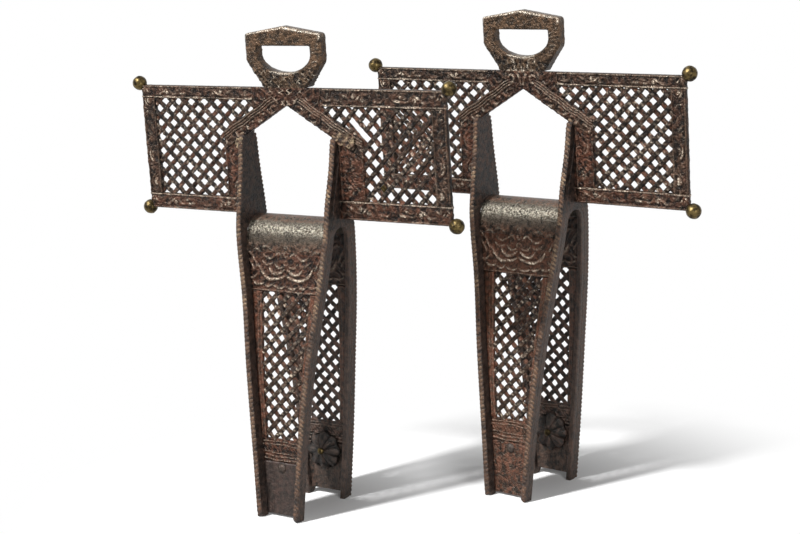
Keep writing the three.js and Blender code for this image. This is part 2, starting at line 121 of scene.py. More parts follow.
# height, widening, splay of the front leg, bulge of the back leg
WIDENING, FRONT_SPLAY, BACK_BULGE = 1, 2, 3
PROFILE = np.array([
    (0, 0, 1, 0.667),
    (0.169, 0.153, 0.883, 0.933),
    (0.391, 0.398, 0.703, 1),
    (0.577, 0.657, 0.477, 0.833),
    (0.737, 0.902, 0.324, 0.333),
    (0.821, 0.927, 0.225, 0.167),
    (0.914, 0.969, 0.081, 0.033),
    (1, 1, 0, 0),
])

# %% Curves that the side plates and the legs follow


def profile_share(column, z):
    """A column of the profile at a height, by a smooth cubic through its rows."""
    heights, values = PROFILE[:, 0], PROFILE[:, column]
    before = np.concatenate(([0], np.arange(len(heights) - 1)))
    after = np.minimum(np.arange(len(heights)) + 1, len(heights) - 1)
    slopes = (values[after] - values[before]) / (heights[after] - heights[before])
    at = np.clip(np.asarray(z, float) / SIDE_TOP, 0, 1)
    i = np.searchsorted(heights[1:-1], at, side="left")
    span = heights[i + 1] - heights[i]
    t = (at - heights[i]) / span
    below, above = 2 * t**3 - 3 * t**2 + 1, 3 * t**2 - 2 * t**3
    pull = (t**3 - 2 * t**2 + t) * slopes[i] + (t**3 - t**2) * slopes[i + 1]
    return below * values[i] + above * values[i + 1] + pull * span


def half_width(z):
    return FOOT_HALF + (CHEEK_HALF - FOOT_HALF) * profile_share(WIDENING, z)


def front_edge(z):
    return -CHEEK_FRONT - (FRONT_REACH - CHEEK_FRONT) * profile_share(FRONT_SPLAY, z)


def back_edge(z):
    return CHEEK_BACK + (BACK_REACH - CHEEK_BACK) * profile_share(BACK_BULGE, z)


def front_face(z):
    return front_edge(z) + FRONT_FLANGE - STRAP_THICKNESS


def back_face(z):
    return back_edge(z) - BACK_RECESS


def brace_lower(x):
    return APEX - BRACE_TAN * np.abs(x)


print("half width at the foot and the cheek:", half_width(0), half_width(SIDE_TOP))

# %% [markdown]
# ## Shapes as arrays
# Chiselled ornament is a height over a flat ground, so most pieces here are fine grids of points
# with a height worked out at each one. A shape is a plain dictionary: its points, its faces, and
# three numbers for each point: how bright it is painted, from wear and from painted highlights; how
# rusty it is; and how far it stands off the ground, which the materials turn into painted shade in
# the hollows, and which some parts also use to paint light and shade onto themselves. The materials
# read those numbers, which is how wear, rust, painted highlights and painted shade follow the
# carving.

# %% Make, join and mirror shapes
COLOUR_LAYERS = ("worn", "rust", "raised")


def make_shape(points, quads, worn=0.0, rust=0.0, caps=(), raised=0.5):
    points = np.asarray(points, float).reshape(-1, 3)
    fill = np.ones(len(points))
    return {
        "points": points,
        "quads": np.asarray(quads, int).reshape(-1, 4),
        "caps": [tuple(c) for c in caps],
        "worn": fill * np.ravel(worn),
        "rust": fill * np.ravel(rust),
        "raised": fill * np.ravel(raised),
    }


def join_shapes(shapes):
    starts = np.cumsum([0] + [len(s["points"]) for s in shapes[:-1]])
    return {
        "points": np.concatenate([s["points"] for s in shapes]),
        "quads": np.concatenate([s["quads"] + a for s, a in zip(shapes, starts)]),
        "caps": [tuple(i + a for i in c) for s, a in zip(shapes, starts) for c in s["caps"]],
        **{key: np.concatenate([s[key] for s in shapes]) for key in COLOUR_LAYERS},
    }


def mirror_shape(shape):
    return {
        **shape,
        "points": shape["points"] * (-1, 1, 1),
        "quads": shape["quads"][:, ::-1],
        "caps": [c[::-1] for c in shape["caps"]],
    }


def grid_quads(rows, columns, start=0):
    i = np.arange(rows - 1)[:, None] * columns + np.arange(columns - 1)[None, :] + start
    return np.stack([i, i + 1, i + columns + 1, i + columns], -1).reshape(-1, 4)


# %% [markdown]
# ## From a shape to a piece
# A shape becomes one mesh for each stirrup. Its points are turned and moved into the shared
# frame before the object is made, so the object itself stays at the origin, unturned.

# %% Turn a shape into a piece of a stirrup
SHARP_ANGLE = math.radians(38)


def to_frame(points, stirrup):
    turn = STIRRUPS[stirrup]["turn"]
    c, s = math.cos(turn), math.sin(turn)
    turned = points @ np.array([[c, s, 0], [-s, c, 0], [0, 0, 1]]) * MM
    return turned + np.array(STIRRUPS[stirrup]["origin"])


def add_piece(stirrup, name, shape, material, nodes=()):
    mesh = bpy.data.meshes.new(f"{stirrup}_{name}")
    faces = shape["quads"].tolist() + shape["caps"]
    mesh.from_pydata(to_frame(shape["points"], stirrup), [], faces)
    for key in COLOUR_LAYERS:
        layer = mesh.attributes.new(key, "FLOAT", "POINT")
        layer.data.foreach_set("value", shape[key].astype(np.float32))
    mesh.polygons.foreach_set("use_smooth", np.ones(len(mesh.polygons), bool))
    mesh.set_sharp_from_angle(angle=SHARP_ANGLE)
    mesh.materials.append(material)
    mesh.update()
    piece = bpy.data.objects.new(f"{stirrup}_{name}", mesh)
    bpy.context.scene.collection.objects.link(piece)
    return settle(piece, stirrup, nodes)


def settle(piece, stirrup, nodes):
    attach(piece, "root")
    if nodes:
        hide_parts(*[f"{stirrup}_{n}" for n in nodes])
    return piece


# %% [markdown]
# ## Chisel strokes
# The smith's ornament is drawn as lines: straight mouldings, scrolls that curl into a spiral,
# and waving vines. A point's height comes from its distance to the nearest line, which gives
# each stroke a rounded back, like metal left standing between two chisel cuts.

# %% Smooth unevenness
SWELL_COUNT = 6
# height and width of each, in millimetres
PITS_AND_BURRS = ((0.1, 1.6), (0.18, 3.6))
GLINT_SIZE = 4


def uneven(u, v, size, seed):
    """Smooth unevenness between about -1 and 1, with swells this many millimetres wide."""
    random = np.random.default_rng(seed)
    turns, phases = random.uniform(0, 2 * math.pi, (2, SWELL_COUNT))
    swells = [
        np.sin(math.pi * (u * math.cos(a) + v * math.sin(a)) / size + b)
        for a, b in zip(turns, phases)
    ]
    return 0.5 * sum(swells)


def chiselled(u, v, seed=7):
    """The rough ground that a chisel leaves, with shallow pits and broader burrs."""
    layers = enumerate(PITS_AND_BURRS, seed)
    return sum(height * uneven(u, v, width, layer) for layer, (height, width) in layers)


def glints(u, v, seed):
    """How brightly a raised line is painted, in patches from 0 to 1: bare metal together with painted
    glints.
    """
    return np.clip(0.45 + 0.9 * uneven(u, v, GLINT_SIZE, seed), 0, 1)


def ramp(value, start, length):
    """0 up to the start, 1 from a length later on, and even between."""
    return np.clip((value - start) / length, 0, 1)


# %% Strokes with a rounded back
LEAF_ENDS = (0.08, 0.92)
LEAF_FULLNESS = 0.7


def distance_to(u, v, lines):
    best = np.full(np.shape(u), np.inf)
    for line in lines:
        for (ax, ay), (bx, by) in zip(line[:-1], line[1:]):
            dx, dy = bx - ax, by - ay
            length = max(dx * dx + dy * dy, 1e-9)
            t = np.clip(((u - ax) * dx + (v - ay) * dy) / length, 0, 1)
            best = np.minimum(best, np.hypot(u - ax - t * dx, v - ay - t * dy))
    return best


def rounded(distance, half):
    return np.sqrt(np.clip(1 - (distance / half) ** 2, 0, 1))


def bowed(start, through, end, steps=14):
    """A smooth curve from start to end that is drawn towards a third point on its way."""
    t = np.linspace(0, 1, steps)[:, None]
    return (1 - t) ** 2 * np.array(start) + 2 * t * (1 - t) * np.array(through) + t**2 * np.array(end)


def spiral(centre, radius, start, turns, steps=16, inner=0.22):
    t = np.linspace(0, 1, steps)
    r = radius * (1 - (1 - inner) * t)
    angle = start + 2 * math.pi * turns * t
    return np.stack([centre[0] + r * np.cos(angle), centre[1] + r * np.sin(angle)], -1)


def tapered(u, v, curves, half):
    """Ridges along curves that are broad in the middle and run out to points, like leaves."""
    best = np.zeros(np.shape(u))
    for curve in curves:
        widths = half * np.sin(math.pi * np.linspace(*LEAF_ENDS, len(curve))) ** LEAF_FULLNESS
        for (a, b), width in zip(curve, widths):
            best = np.maximum(best, rounded(np.hypot(u - a, v - b), width))
    return best


# %% Curling lines that fill a ground
TINY_STEP = 0.05
LEAST_SLOPE = 0.25


def tracery(u, v, size, half, seed):
    """Fine curling lines that fill a ground, where a smooth unevenness changes its sign."""
    swell, beside = uneven(u, v, size, seed), uneven(u + TINY_STEP, v, size, seed)
    above = uneven(u, v + TINY_STEP, size, seed)
    slope = np.hypot(beside - swell, above - swell) / TINY_STEP
    return rounded(np.abs(swell) / np.maximum(slope, LEAST_SLOPE), half)


# %% Rows of leaves and a running vine
VINE_LEAVES = (0.06, 0.16, 0.4, 0.5, 0.6, 0.9)
LONG_LEAF = np.array([(0, -0.2), (0.62, -0.26), (0.95, 0.18)])
SHORT_LEAF = np.array([(0.2, 0.05), (0.45, 0.2), (0.75, 0.1)])
STEM_SWING = 0.27
CURL_RADIUS = 0.2


def along_repeat(u, lines, period):
    copies = [line + np.array((shift, 0)) for line in lines for shift in (-period, 0, period)]
    return np.mod(u, period), copies


def leaf_row(u, v, period, half):
    """A row of long crescents, each with a short one under its bow."""
    leaves = [bowed(*(period * LONG_LEAF), 20), bowed(*(period * SHORT_LEAF), 10)]
    folded, copies = along_repeat(u, leaves, period)
    return tapered(folded, v, copies, half)


def running_vine(u, v, width, period, half):
    """A waving stem with curls and short leaves. The hand that cut it wandered a little."""
    u = u + 1.6 * uneven(u, v, 13, seed=3)
    v = v + 0.5 * uneven(u, v, 6, seed=4)
    t = np.linspace(0, 1, 13)
    stem = np.stack([period * t, STEM_SWING * width * np.sin(2 * math.pi * t)], -1)
    curls = [
        spiral((at * period, side * 0.14 * width), CURL_RADIUS * width, math.pi, side, 10)
        for at, side in ((0.27, -1), (0.77, 1))
    ]
    leaves = []
    for at in VINE_LEAVES:
        side = -1 if at < 0.5 else 1
        ends = [(at * period, 0.1 * side * width), ((at + 0.07) * period, 0.46 * side * width)]
        leaves.append(np.array(ends))
    folded, bold = along_repeat(u, [stem, *curls], period)
    fine = along_repeat(u, leaves, period)[1]
    bold_strokes = rounded(distance_to(folded, v, bold), half)
    fine_strokes = rounded(distance_to(folded, v, fine), 0.7 * half)
    return np.maximum(bold_strokes, 0.7 * fine_strokes)


# %% [markdown]
# ## Slabs: flat iron with ornament on both faces
# A border strip is a slab. Its grid says where each point lies in the plate, the height says how
# far the ornament stands off the ground, and a surface says where the plate's front is, so that
# the same code makes the flat cross and the curved legs. The rim is eased a little, as filed
# edges are.

# %% Build a slab
FILED_EDGE, FILED_DROP = 0.7, 0.5
HOLLOW, FULL_RELIEF = 0.2, 1.05


def flat_surface(z):
    return np.zeros(np.shape(z))


def eased_rim(rows, columns, across, along):
    """How far each grid point is from the slab's rim, turned into a drop of its face."""
    r = np.minimum(np.arange(rows), np.arange(rows)[::-1])[:, None] * along
    c = np.minimum(np.arange(columns), np.arange(columns)[::-1])[None, :] * across
    near = np.clip(1 - np.minimum(r, c) / FILED_EDGE, 0, 1)
    return FILED_DROP * near**2


def raised_share(height):
    return ramp(height, HOLLOW, FULL_RELIEF - HOLLOW)


def shell_quads(rows, columns):
    """Faces of a closed shell: a front grid, a back grid turned round, and the rim between them."""
    count = rows * columns
    index = np.arange(count).reshape(rows, columns)
    rim = np.concatenate([index[0, :-1], index[:-1, -1], index[-1, :0:-1], index[:0:-1, 0]])
    after = np.roll(rim, -1)
    return np.concatenate([
        grid_quads(rows, columns), grid_quads(rows, columns, count)[:, ::-1],
        np.stack([rim, rim + count, after + count, after], -1)])


def slab(x, z, height, worn, rust, surface=flat_surface, thickness=CROSS_THICKNESS, inward=1):
    rows, columns = x.shape
    across = np.hypot(x[0, 1] - x[0, 0], z[0, 1] - z[0, 0])
    along = np.hypot(x[1, 0] - x[0, 0], z[1, 0] - z[0, 0])
    face = height - eased_rim(rows, columns, across, along)
    front = np.stack([x, surface(z) - inward * face, z], -1).reshape(-1, 3)
    back = np.stack([x, surface(z) + inward * (thickness + face), z], -1).reshape(-1, 3)
    faces = shell_quads(rows, columns)
    if inward < 0:
        faces = faces[:, ::-1]
    parts = [np.broadcast_to(part, x.shape).ravel() for part in (worn, rust, raised_share(height))]
    worn, rust, raised = [np.tile(part, 2) for part in parts]
    return make_shape(np.concatenate([front, back]), faces, worn, rust, raised=raised)


def strip_grid(low, high, step):
    """Grid between two lines of points, each given as its two ends."""
    (a, b), (c, d) = np.asarray(low, float), np.asarray(high, float)
    columns = max(2, int(max(np.linalg.norm(b - a), np.linalg.norm(d - c)) / step) + 1)
    rows = max(2, int(max(np.linalg.norm(c - a), np.linalg.norm(d - b)) / step) + 1)
    s = np.linspace(0, 1, columns)[None, :, None]
    t = np.linspace(0, 1, rows)[:, None, None]
    grid = (1 - t) * ((1 - s) * a + s * b) + t * ((1 - s) * c + s * d)
    return grid[..., 0], grid[..., 1]


print("a slab's rim is filed down by", FILED_DROP, "mm")

# %% [markdown]
# ## Materials
# The object has seven finishes. Six are wrought iron that was blackened, then browned by age: an
# oxide skin over metal, so it is only partly metallic, with rust in patches and bare grey where
# hands touch it, where highlights are also painted on. The seventh is cast brass with a brown
# tarnish. All patterns are in Object coordinates, which are metres here, so a noise of scale 500
# has grains about 2 mm wide.

# %% Colour and node helpers


def colour(hex_code):
    """The linear colour that a Blender socket takes, from an sRGB hex code."""
    parts = [int(hex_code[i:i + 2], 16) / 255 for i in (1, 3, 5)]
    return (*[p / 12.92 if p <= 0.04045 else ((p + 0.055) / 1.055) ** 2.4 for p in parts], 1)


def grain(size_mm):
    """The scale of a noise whose patches are this wide."""
    return 1 / (size_mm * MM)


def add_node(tree, kind, inputs=None, **settings):
    """Adds a node, sets its properties, and fills its inputs with values or links."""
    node = tree.nodes.new(kind)
    for key, value in settings.items():
        setattr(node, key, value)
    for key, value in (inputs or {}).items():
        if isinstance(value, bpy.types.NodeSocket):
            tree.links.new(value, node.inputs[key])
        else:
            node.inputs[key].default_value = value
    return node


def new_material(name):
    material = bpy.data.materials.new(name)
    material.use_nodes = True
    material.node_tree.nodes.clear()
    return material, material.node_tree


# %% [markdown]
# ### Forged iron with an oxide skin
# Blackened iron ages to a dark brown with rust-red patches some centimetres wide. The chisel's
# ground is painted dark, which is dark oxide together with painted shade in the hollows, and the
# raised lines are painted a warm grey, which is rubbed metal together with painted highlights. The
# mesh's numbers for wear, rust and relief steer where each colour goes, and the relief number also
# paints light and shade onto whole parts. Noise breaks their edges up. One tree serves all six
# finishes, which differ in their colours, their gloss and the depth of their pits.

# %% Forged iron
PATCH_MM = 26
BLOTCH_MM = 4.5
SKIN_GRAIN_MM = 1.6
BROWNING, LEAST_BROWNING, RELIEF_AND_LIGHT_SHARE = 0.5, -0.12, 0.65
SMOOTHER, ROUGHER = 0.1, 0.12


def forged_iron(name, ground, body, rust, bright, roughness, metallic, pitting):
    material, tree = new_material(name)
    place = add_node(tree, "ShaderNodeTexCoord").outputs["Object"]
    patches = add_node(tree, "ShaderNodeTexNoise", {
        "Vector": place, "Scale": grain(PATCH_MM), "Detail": 4.0, "Roughness": 0.6})
    blotches = add_node(tree, "ShaderNodeTexNoise", {
        "Vector": place, "Scale": grain(BLOTCH_MM), "Detail": 5.0, "Roughness": 0.65})
    skin = add_node(tree, "ShaderNodeTexNoise", {
        "Vector": place, "Scale": grain(SKIN_GRAIN_MM), "Detail": 3.0, "Roughness": 0.6})
    worn, rusty, raised = [
        add_node(tree, "ShaderNodeAttribute", attribute_name=key).outputs["Fac"] for key in COLOUR_LAYERS]

    browned = add_node(tree, "ShaderNodeMapRange", {
        "Value": blotches.outputs["Fac"], "From Min": 0.38, "From Max": 0.64},
        interpolation_type="SMOOTHSTEP")
    skinned = add_node(tree, "ShaderNodeMath", {
        0: browned.outputs["Result"], 1: BROWNING, 2: LEAST_BROWNING}, operation="MULTIPLY_ADD")
    # This mix lifts the dark ground colour towards the body colour by the mesh's relief number: the
    # hollows keep a painted shade, and whole parts are painted lighter and darker through the same number.
    body_share = add_node(tree, "ShaderNodeMath", {
        0: raised, 1: RELIEF_AND_LIGHT_SHARE, 2: skinned.outputs[0]}, operation="MULTIPLY_ADD", use_clamp=True)
    base = add_node(tree, "ShaderNodeMix", {
        0: body_share.outputs[0], 6: colour(ground), 7: colour(body)}, data_type="RGBA")

    spread = add_node(tree, "ShaderNodeMath", {0: patches.outputs["Fac"], 1: rusty}, operation="ADD")
    rusted = add_node(tree, "ShaderNodeMapRange", {
        "Value": spread.outputs[0], "From Min": 0.5, "From Max": 1.25, "To Max": 0.9})
    speckled = add_node(tree, "ShaderNodeMath", {
        0: rusted.outputs["Result"], 1: browned.outputs["Result"]}, operation="MULTIPLY")
    rust_mix = add_node(tree, "ShaderNodeMix", {
        0: speckled.outputs[0], 6: base.outputs[2], 7: colour(rust)}, data_type="RGBA")

    broken = add_node(tree, "ShaderNodeMapRange", {
        "Value": skin.outputs["Fac"], "From Min": 0.4, "From Max": 0.68, "To Max": 1.2})
    # This mixes in the bare metal colour by the mesh's wear number, which holds wear together with painted
    # highlights and glints.
    wear_and_painted_highlight = add_node(tree, "ShaderNodeMath", {
        0: worn, 1: broken.outputs["Result"]}, operation="MULTIPLY")
    finish = add_node(tree, "ShaderNodeMix", {
        0: wear_and_painted_highlight.outputs[0], 6: rust_mix.outputs[2], 7: colour(bright)}, data_type="RGBA")

    dulled = add_node(tree, "ShaderNodeMapRange", {
        "Value": blotches.outputs["Fac"], "From Min": 0.3, "From Max": 0.7,
        "To Min": roughness - SMOOTHER, "To Max": roughness + ROUGHER})
    relief = add_node(tree, "ShaderNodeMath", {
        0: skin.outputs["Fac"], 1: blotches.outputs["Fac"]}, operation="ADD")
    bump = add_node(tree, "ShaderNodeBump", {
        "Height": relief.outputs[0], "Strength": 0.8, "Distance": pitting * MM})
    shader = add_node(tree, "ShaderNodeBsdfPrincipled", {
        "Base Color": finish.outputs[2], "Roughness": dulled.outputs["Result"],
        "Metallic": metallic, "Normal": bump.outputs["Normal"]})
    add_node(tree, "ShaderNodeOutputMaterial", {"Surface": shader.outputs[0]})
    return material


# %% Six finishes of iron
# ground, which also paints shade in the hollows, body, rust, bare metal with painted highlights,
# roughness, metallic, depth of the pits in millimetres
IRON_FINISHES = {
    "blackened_wrought_iron": ("#120d0a", "#523d2f", "#603929", "#dccdb8", 0.36, 0.7, 1.5),
    "golden_brown_wrought_iron": ("#130e0a", "#564534", "#644a35", "#dcd0be", 0.37, 0.68, 1.5),
    "sooty_wrought_iron": ("#12100e", "#50423a", "#553b2f", "#a39482", 0.42, 0.5, 1.2),
    "filed_wrought_iron": ("#221b19", "#392f2b", "#463029", "#a39482", 0.48, 0.5, 0.6),
    "rubbed_wrought_iron": ("#1d1612", "#5b4638", "#654530", "#ab9678", 0.5, 0.45, 1.2),
    "pitted_tread_iron": ("#1b1713", "#574d42", "#674a3b", "#ddd7c4", 0.33, 0.75, 2.0),
}
irons = [forged_iron(name, *look) for name, look in IRON_FINISHES.items()]
IRON, EYE_IRON, DARK_IRON, PLAIN_IRON, ROPE_IRON, TREAD_IRON = irons
print("iron finishes:", [iron.name for iron in irons])

# %% [markdown]
# ### Tarnished brass
# The balls are brass castings, dull gold with a brown tarnish in patches about 5 mm wide, and
# fine casting pits.

# %% Tarnished brass
TARNISH_MM = 5
CASTING_PIT_MM, CASTING_PIT_DEPTH = 1.2, 0.2
TARNISH_BROWN, HANDLED_GOLD = "#221b0e", "#645534"


def tarnished_brass():
    material, tree = new_material("tarnished_cast_brass")
    place = add_node(tree, "ShaderNodeTexCoord").outputs["Object"]
    patches = add_node(tree, "ShaderNodeTexNoise", {
        "Vector": place, "Scale": grain(TARNISH_MM), "Detail": 4.0, "Roughness": 0.62})
    pits = add_node(tree, "ShaderNodeTexNoise", {
        "Vector": place, "Scale": grain(CASTING_PIT_MM), "Detail": 2.0})
    tarnish = add_node(tree, "ShaderNodeMapRange", {
        "Value": patches.outputs["Fac"], "From Min": 0.38, "From Max": 0.62},
        interpolation_type="SMOOTHSTEP")
    mixed = add_node(tree, "ShaderNodeMix", {
        0: tarnish.outputs["Result"], 6: colour(TARNISH_BROWN), 7: colour(HANDLED_GOLD)}, data_type="RGBA")
    dulled = add_node(tree, "ShaderNodeMapRange", {
        "Value": patches.outputs["Fac"], "From Min": 0.3, "From Max": 0.7, "To Min": 0.52, "To Max": 0.3})
    bump = add_node(tree, "ShaderNodeBump", {
        "Height": pits.outputs["Fac"], "Strength": 0.35, "Distance": CASTING_PIT_DEPTH * MM})
    shader = add_node(tree, "ShaderNodeBsdfPrincipled", {
        "Base Color": mixed.outputs[2], "Roughness": dulled.outputs["Result"],
        "Metallic": 0.9, "Normal": bump.outputs["Normal"]})
    add_node(tree, "ShaderNodeOutputMaterial", {"Surface": shader.outputs[0]})
    return material


BRASS = tarnished_brass()

# %% [markdown]
# ## Geometry Nodes for what repeats
# Two things repeat along a path: the bars of the pierced lattice and the strands of the rope
# edges. Each has a node tree with named inputs. A helper lays the tree on a path of points and
# edges and reads the result back as a shape, in the stirrup's own frame.

# %% Helpers for the node trees


def new_tree(name, inputs):
    tree = bpy.data.node_groups.new(name, "GeometryNodeTree")
    tree.interface.new_socket("Geometry", in_out="INPUT", socket_type="NodeSocketGeometry")
    for label, value in inputs.items():
        socket = tree.interface.new_socket(label, in_out="INPUT", socket_type="NodeSocketFloat")
        socket.default_value = value
    tree.interface.new_socket("Geometry", in_out="OUTPUT", socket_type="NodeSocketGeometry")
    return tree, add_node(tree, "NodeGroupInput").outputs


def end_tree(tree, geometry, material):
    real = add_node(tree, "GeometryNodeRealizeInstances", {"Geometry": geometry})
    painted = add_node(tree, "GeometryNodeSetMaterial", {
        "Geometry": real.outputs[0], "Material": material})
    add_node(tree, "NodeGroupOutput", {"Geometry": painted.outputs[0]})


def shape_along(tree, points, edges, values, worn=0.0, rust=0.0):
    path = bpy.data.meshes.new("path")
    path.from_pydata([tuple(p) for p in points], [tuple(e) for e in edges], [])
    holder = bpy.data.objects.new("path", path)
    bpy.context.scene.collection.objects.link(holder)
    modifier = holder.modifiers.new("along", "NODES")
    modifier.node_group = tree
    for item in tree.interface.items_tree:
        if item.item_type == "SOCKET" and item.in_out == "INPUT" and item.name in values:
            modifier[item.identifier] = float(values[item.name])
    graph = bpy.context.evaluated_depsgraph_get()
    made = bpy.data.meshes.new_from_object(holder.evaluated_get(graph), depsgraph=graph)
    co = np.array([v.co[:] for v in made.vertices])
    faces = [tuple(p.vertices) for p in made.polygons]
    quads = [f for f in faces if len(f) == 4]
    caps = [f for f in faces if len(f) != 4]
    shape = make_shape(co, quads, worn, rust, caps)
    bpy.data.objects.remove(holder)
    bpy.data.meshes.remove(path)
    bpy.data.meshes.remove(made)
    return shape


# %% [markdown]
# ### Lattice bars
# A pierced lattice reads as two families of bars that cross. The tree sweeps an eased rectangle
# along each bar's middle line. The bars are cut into short lengths first, so that the same
# bars can follow the curve of a leg afterwards.

# %% Node tree for bars
BAR_EASE = 0.8


def bar_tree():
    sizes = {"Width": 5.6, "Thickness": 3.6, "Step": 6.0, "Ease": BAR_EASE}
    tree, given = new_tree("lattice_bars", sizes)
    lines = add_node(tree, "GeometryNodeMeshToCurve", {"Mesh": given["Geometry"]})
    cut = add_node(tree, "GeometryNodeResampleCurve", {
        "Curve": lines.outputs[0], "Length": given["Step"]}, mode="LENGTH")
    upright = add_node(tree, "GeometryNodeSetCurveNormal", {"Curve": cut.outputs[0]}, mode="Z_UP")
    section = add_node(tree, "GeometryNodeCurvePrimitiveQuadrilateral", {
        "Width": given["Thickness"], "Height": given["Width"]})
    eased = add_node(tree, "GeometryNodeFilletCurve", {
        "Curve": section.outputs[0], "Radius": given["Ease"], "Count": 1}, mode="POLY")
    bars = add_node(tree, "GeometryNodeCurveToMesh", {
        "Curve": upright.outputs[0], "Profile Curve": eased.outputs[0], "Fill Caps": True})
    end_tree(tree, bars.outputs[0], IRON)
    return tree


BAR_TREE = bar_tree()

# %% [markdown]
# ### Twisted rope along an edge
# The front and back edges of each side plate were filed into a rope, which is bolder at the
# back. One strand is a long, low ellipsoid laid aslant over the edge, and the next one lies a
# strand's pitch further up.

# %% Node tree for rope strands
STRAND_PITCH = 4.1


def strand_tree():
    sizes = {"Pitch": STRAND_PITCH, "Length": 3.3, "Thickness": 2.05, "Height": 1.25, "Slant": 0.8}
    tree, given = new_tree("rope_strands", sizes)
    line = add_node(tree, "GeometryNodeMeshToCurve", {"Mesh": given["Geometry"]})
    spots = add_node(tree, "GeometryNodeResampleCurve", {
        "Curve": line.outputs[0], "Length": given["Pitch"]}, mode="LENGTH")
    ball = add_node(tree, "GeometryNodeMeshUVSphere", {"Segments": 14, "Rings": 8, "Radius": 1.0})
    size = add_node(tree, "ShaderNodeCombineXYZ", {
        "X": given["Length"], "Y": given["Height"], "Z": given["Thickness"]})
    turn = add_node(tree, "ShaderNodeCombineXYZ", {"Y": given["Slant"]})
    strands = add_node(tree, "GeometryNodeInstanceOnPoints", {
        "Points": spots.outputs[0], "Instance": ball.outputs[0], "Rotation": turn.outputs[0],
        "Scale": size.outputs[0]})
    end_tree(tree, strands.outputs[0], ROPE_IRON)
    return tree


STRAND_TREE = strand_tree()
print("node trees:", [t.name for t in (BAR_TREE, STRAND_TREE)])

# %% [markdown]
# ## The cross
# The cross is one plate with pierced windows and broad borders. A running vine is chiselled
# between two fine lines on every border. Each border is a slab of its own; slabs that meet
# share a line, as the chisel work on the real plate is set out in panels.

# %% Relief of a border
LINE_HALF, LINE_SHARE = 0.85, 0.85
LINE_INSET = 1.2
STROKE_HALF = 1.3
FILLING_SIZE, FILLING_HALF, FILLING_SHARE = 7.5, 0.95, 0.5
BORDER_RISE = 1.15
BORDER_GRID, BRACE_GRID = 0.66, 0.62
VINE_PERIOD = 27.0


def border_height(u, v, width, wear_and_painted_highlight, boldness):
    """Height, and wear with painted highlights, on a border. u runs along it and v across, from its
    middle.

    Two weights say how bright the lines below and above the middle are painted: wear together with painted
    highlights.
    """
    wander = 0.35 * uneven(u, v, 16, seed=5)
    lines = rounded(np.abs(np.abs(v) - (width / 2 - LINE_INSET)) + wander * 0.5, LINE_HALF)
    broken = np.clip(0.85 + 0.5 * uneven(u, v, 9, seed=62), 0.3, 1)
    vine = boldness * broken * running_vine(u, v, width - 3 * LINE_INSET, VINE_PERIOD, STROKE_HALF)
    inside = np.clip((width / 2 - 2 * LINE_INSET - np.abs(v)) / 0.6, 0, 1)
    filling = FILLING_SHARE * inside * tracery(u, v, FILLING_SIZE, FILLING_HALF, seed=64)
    height = BORDER_RISE * np.maximum.reduce([LINE_SHARE * lines, vine, filling]) + chiselled(u, v)
    # The lines and the vine are painted bright in glinting patches: wear together with painted highlights.
    glint = glints(u, v, seed=61)
    line_wear_and_highlight = np.where(v > 0, wear_and_painted_highlight[1], wear_and_painted_highlight[0]) * (0.5 + 0.5 * glint)
    return height, line_wear_and_highlight * lines**2 + glint * (vine**5 + 0.35 * filling**2)


def border_strip(low, high, middle, width, rust, wear_and_painted_highlight, boldness=1.0, upright=False):
    """A slab between two lines. middle is its middle line's x if it is upright, or else its z."""
    x, z = strip_grid(low, high, BORDER_GRID)
    along, across = (z, x) if upright else (x, z)
    height, worn = border_height(along, across - middle, width, wear_and_painted_highlight, boldness)
    return slab(x, z, height, np.clip(worn, 0, 1), rust)


# %% Borders of the cross
CHEEK_FOOT_X = half_width(CROSS_BOTTOM) - PLATE_THICKNESS / 2
CHEEK_TOP_X = half_width(SIDE_TOP) - PLATE_THICKNESS / 2


# The two weights in each border below paint its lines bright, most on the lines beside a window: wear
# together with painted highlights.
def bottom_border(window):
    bottom = window["bottom"]
    return border_strip(
        [(CHEEK_FOOT_X, CROSS_BOTTOM), (ARM, CROSS_BOTTOM)],
        [(CHEEK_FOOT_X, bottom), (ARM, bottom)],
        (CROSS_BOTTOM + bottom) / 2, bottom - CROSS_BOTTOM, rust=0.35, wear_and_painted_highlight=(0.2, 0.85))


def outer_border(window):
    return border_strip(
        [(WINDOW_OUTER, window["bottom"]), (ARM, window["bottom"])],
        [(WINDOW_OUTER, window["top"]), (ARM, window["top"])],
        (WINDOW_OUTER + ARM) / 2, ARM - WINDOW_OUTER, rust=0.1, wear_and_painted_highlight=(0.15, 0.1), upright=True)


def inner_border(window):
    bottom, inner = window["bottom"], window["inner"]
    return border_strip(
        [(CHEEK_FOOT_X, bottom), (inner, bottom)],
        [(CHEEK_TOP_X, brace_lower(CHEEK_TOP_X)), (inner, brace_lower(inner))],
        (CHEEK_HALF + inner) / 2, inner - CHEEK_HALF, rust=0.5, wear_and_painted_highlight=(0.1, 0.1), boldness=0.8,
        upright=True)


def top_border(window):
    top = window["top"]
    return border_strip(
        [(CORNER_START, top), (ARM, top)],
        [(CORNER_START, CROSS_TOP), (ARM, CROSS_TOP)],
        (top + CROSS_TOP) / 2, CROSS_TOP - top, rust=0.1, wear_and_painted_highlight=(0.8, 0.45))


# %% [markdown]
# ### Braces over the foot opening
# Two bands slope down from the apex, like the rafters of a gable. Fine parallel ridges run along
# the upper edge, and a row of leaves fills the rest. Distances are measured along and across the
# slope. In the middle the bands meet the neck of the eye. There the near stirrup is cut with
# scales, and the far one with a palmette between two great scrolls.

# %% Ornament of the middle
SCALE_MM, SCALE_SLOPE, SCALE_RIDGE = 6.8, 1.15, 1.3
PALMETTE_HALF = 1.5
# width of its swells and half the width of its lines, in millimetres
FINE_FILLING = (6.5, 0.95)
NECK_HALF = 25.0


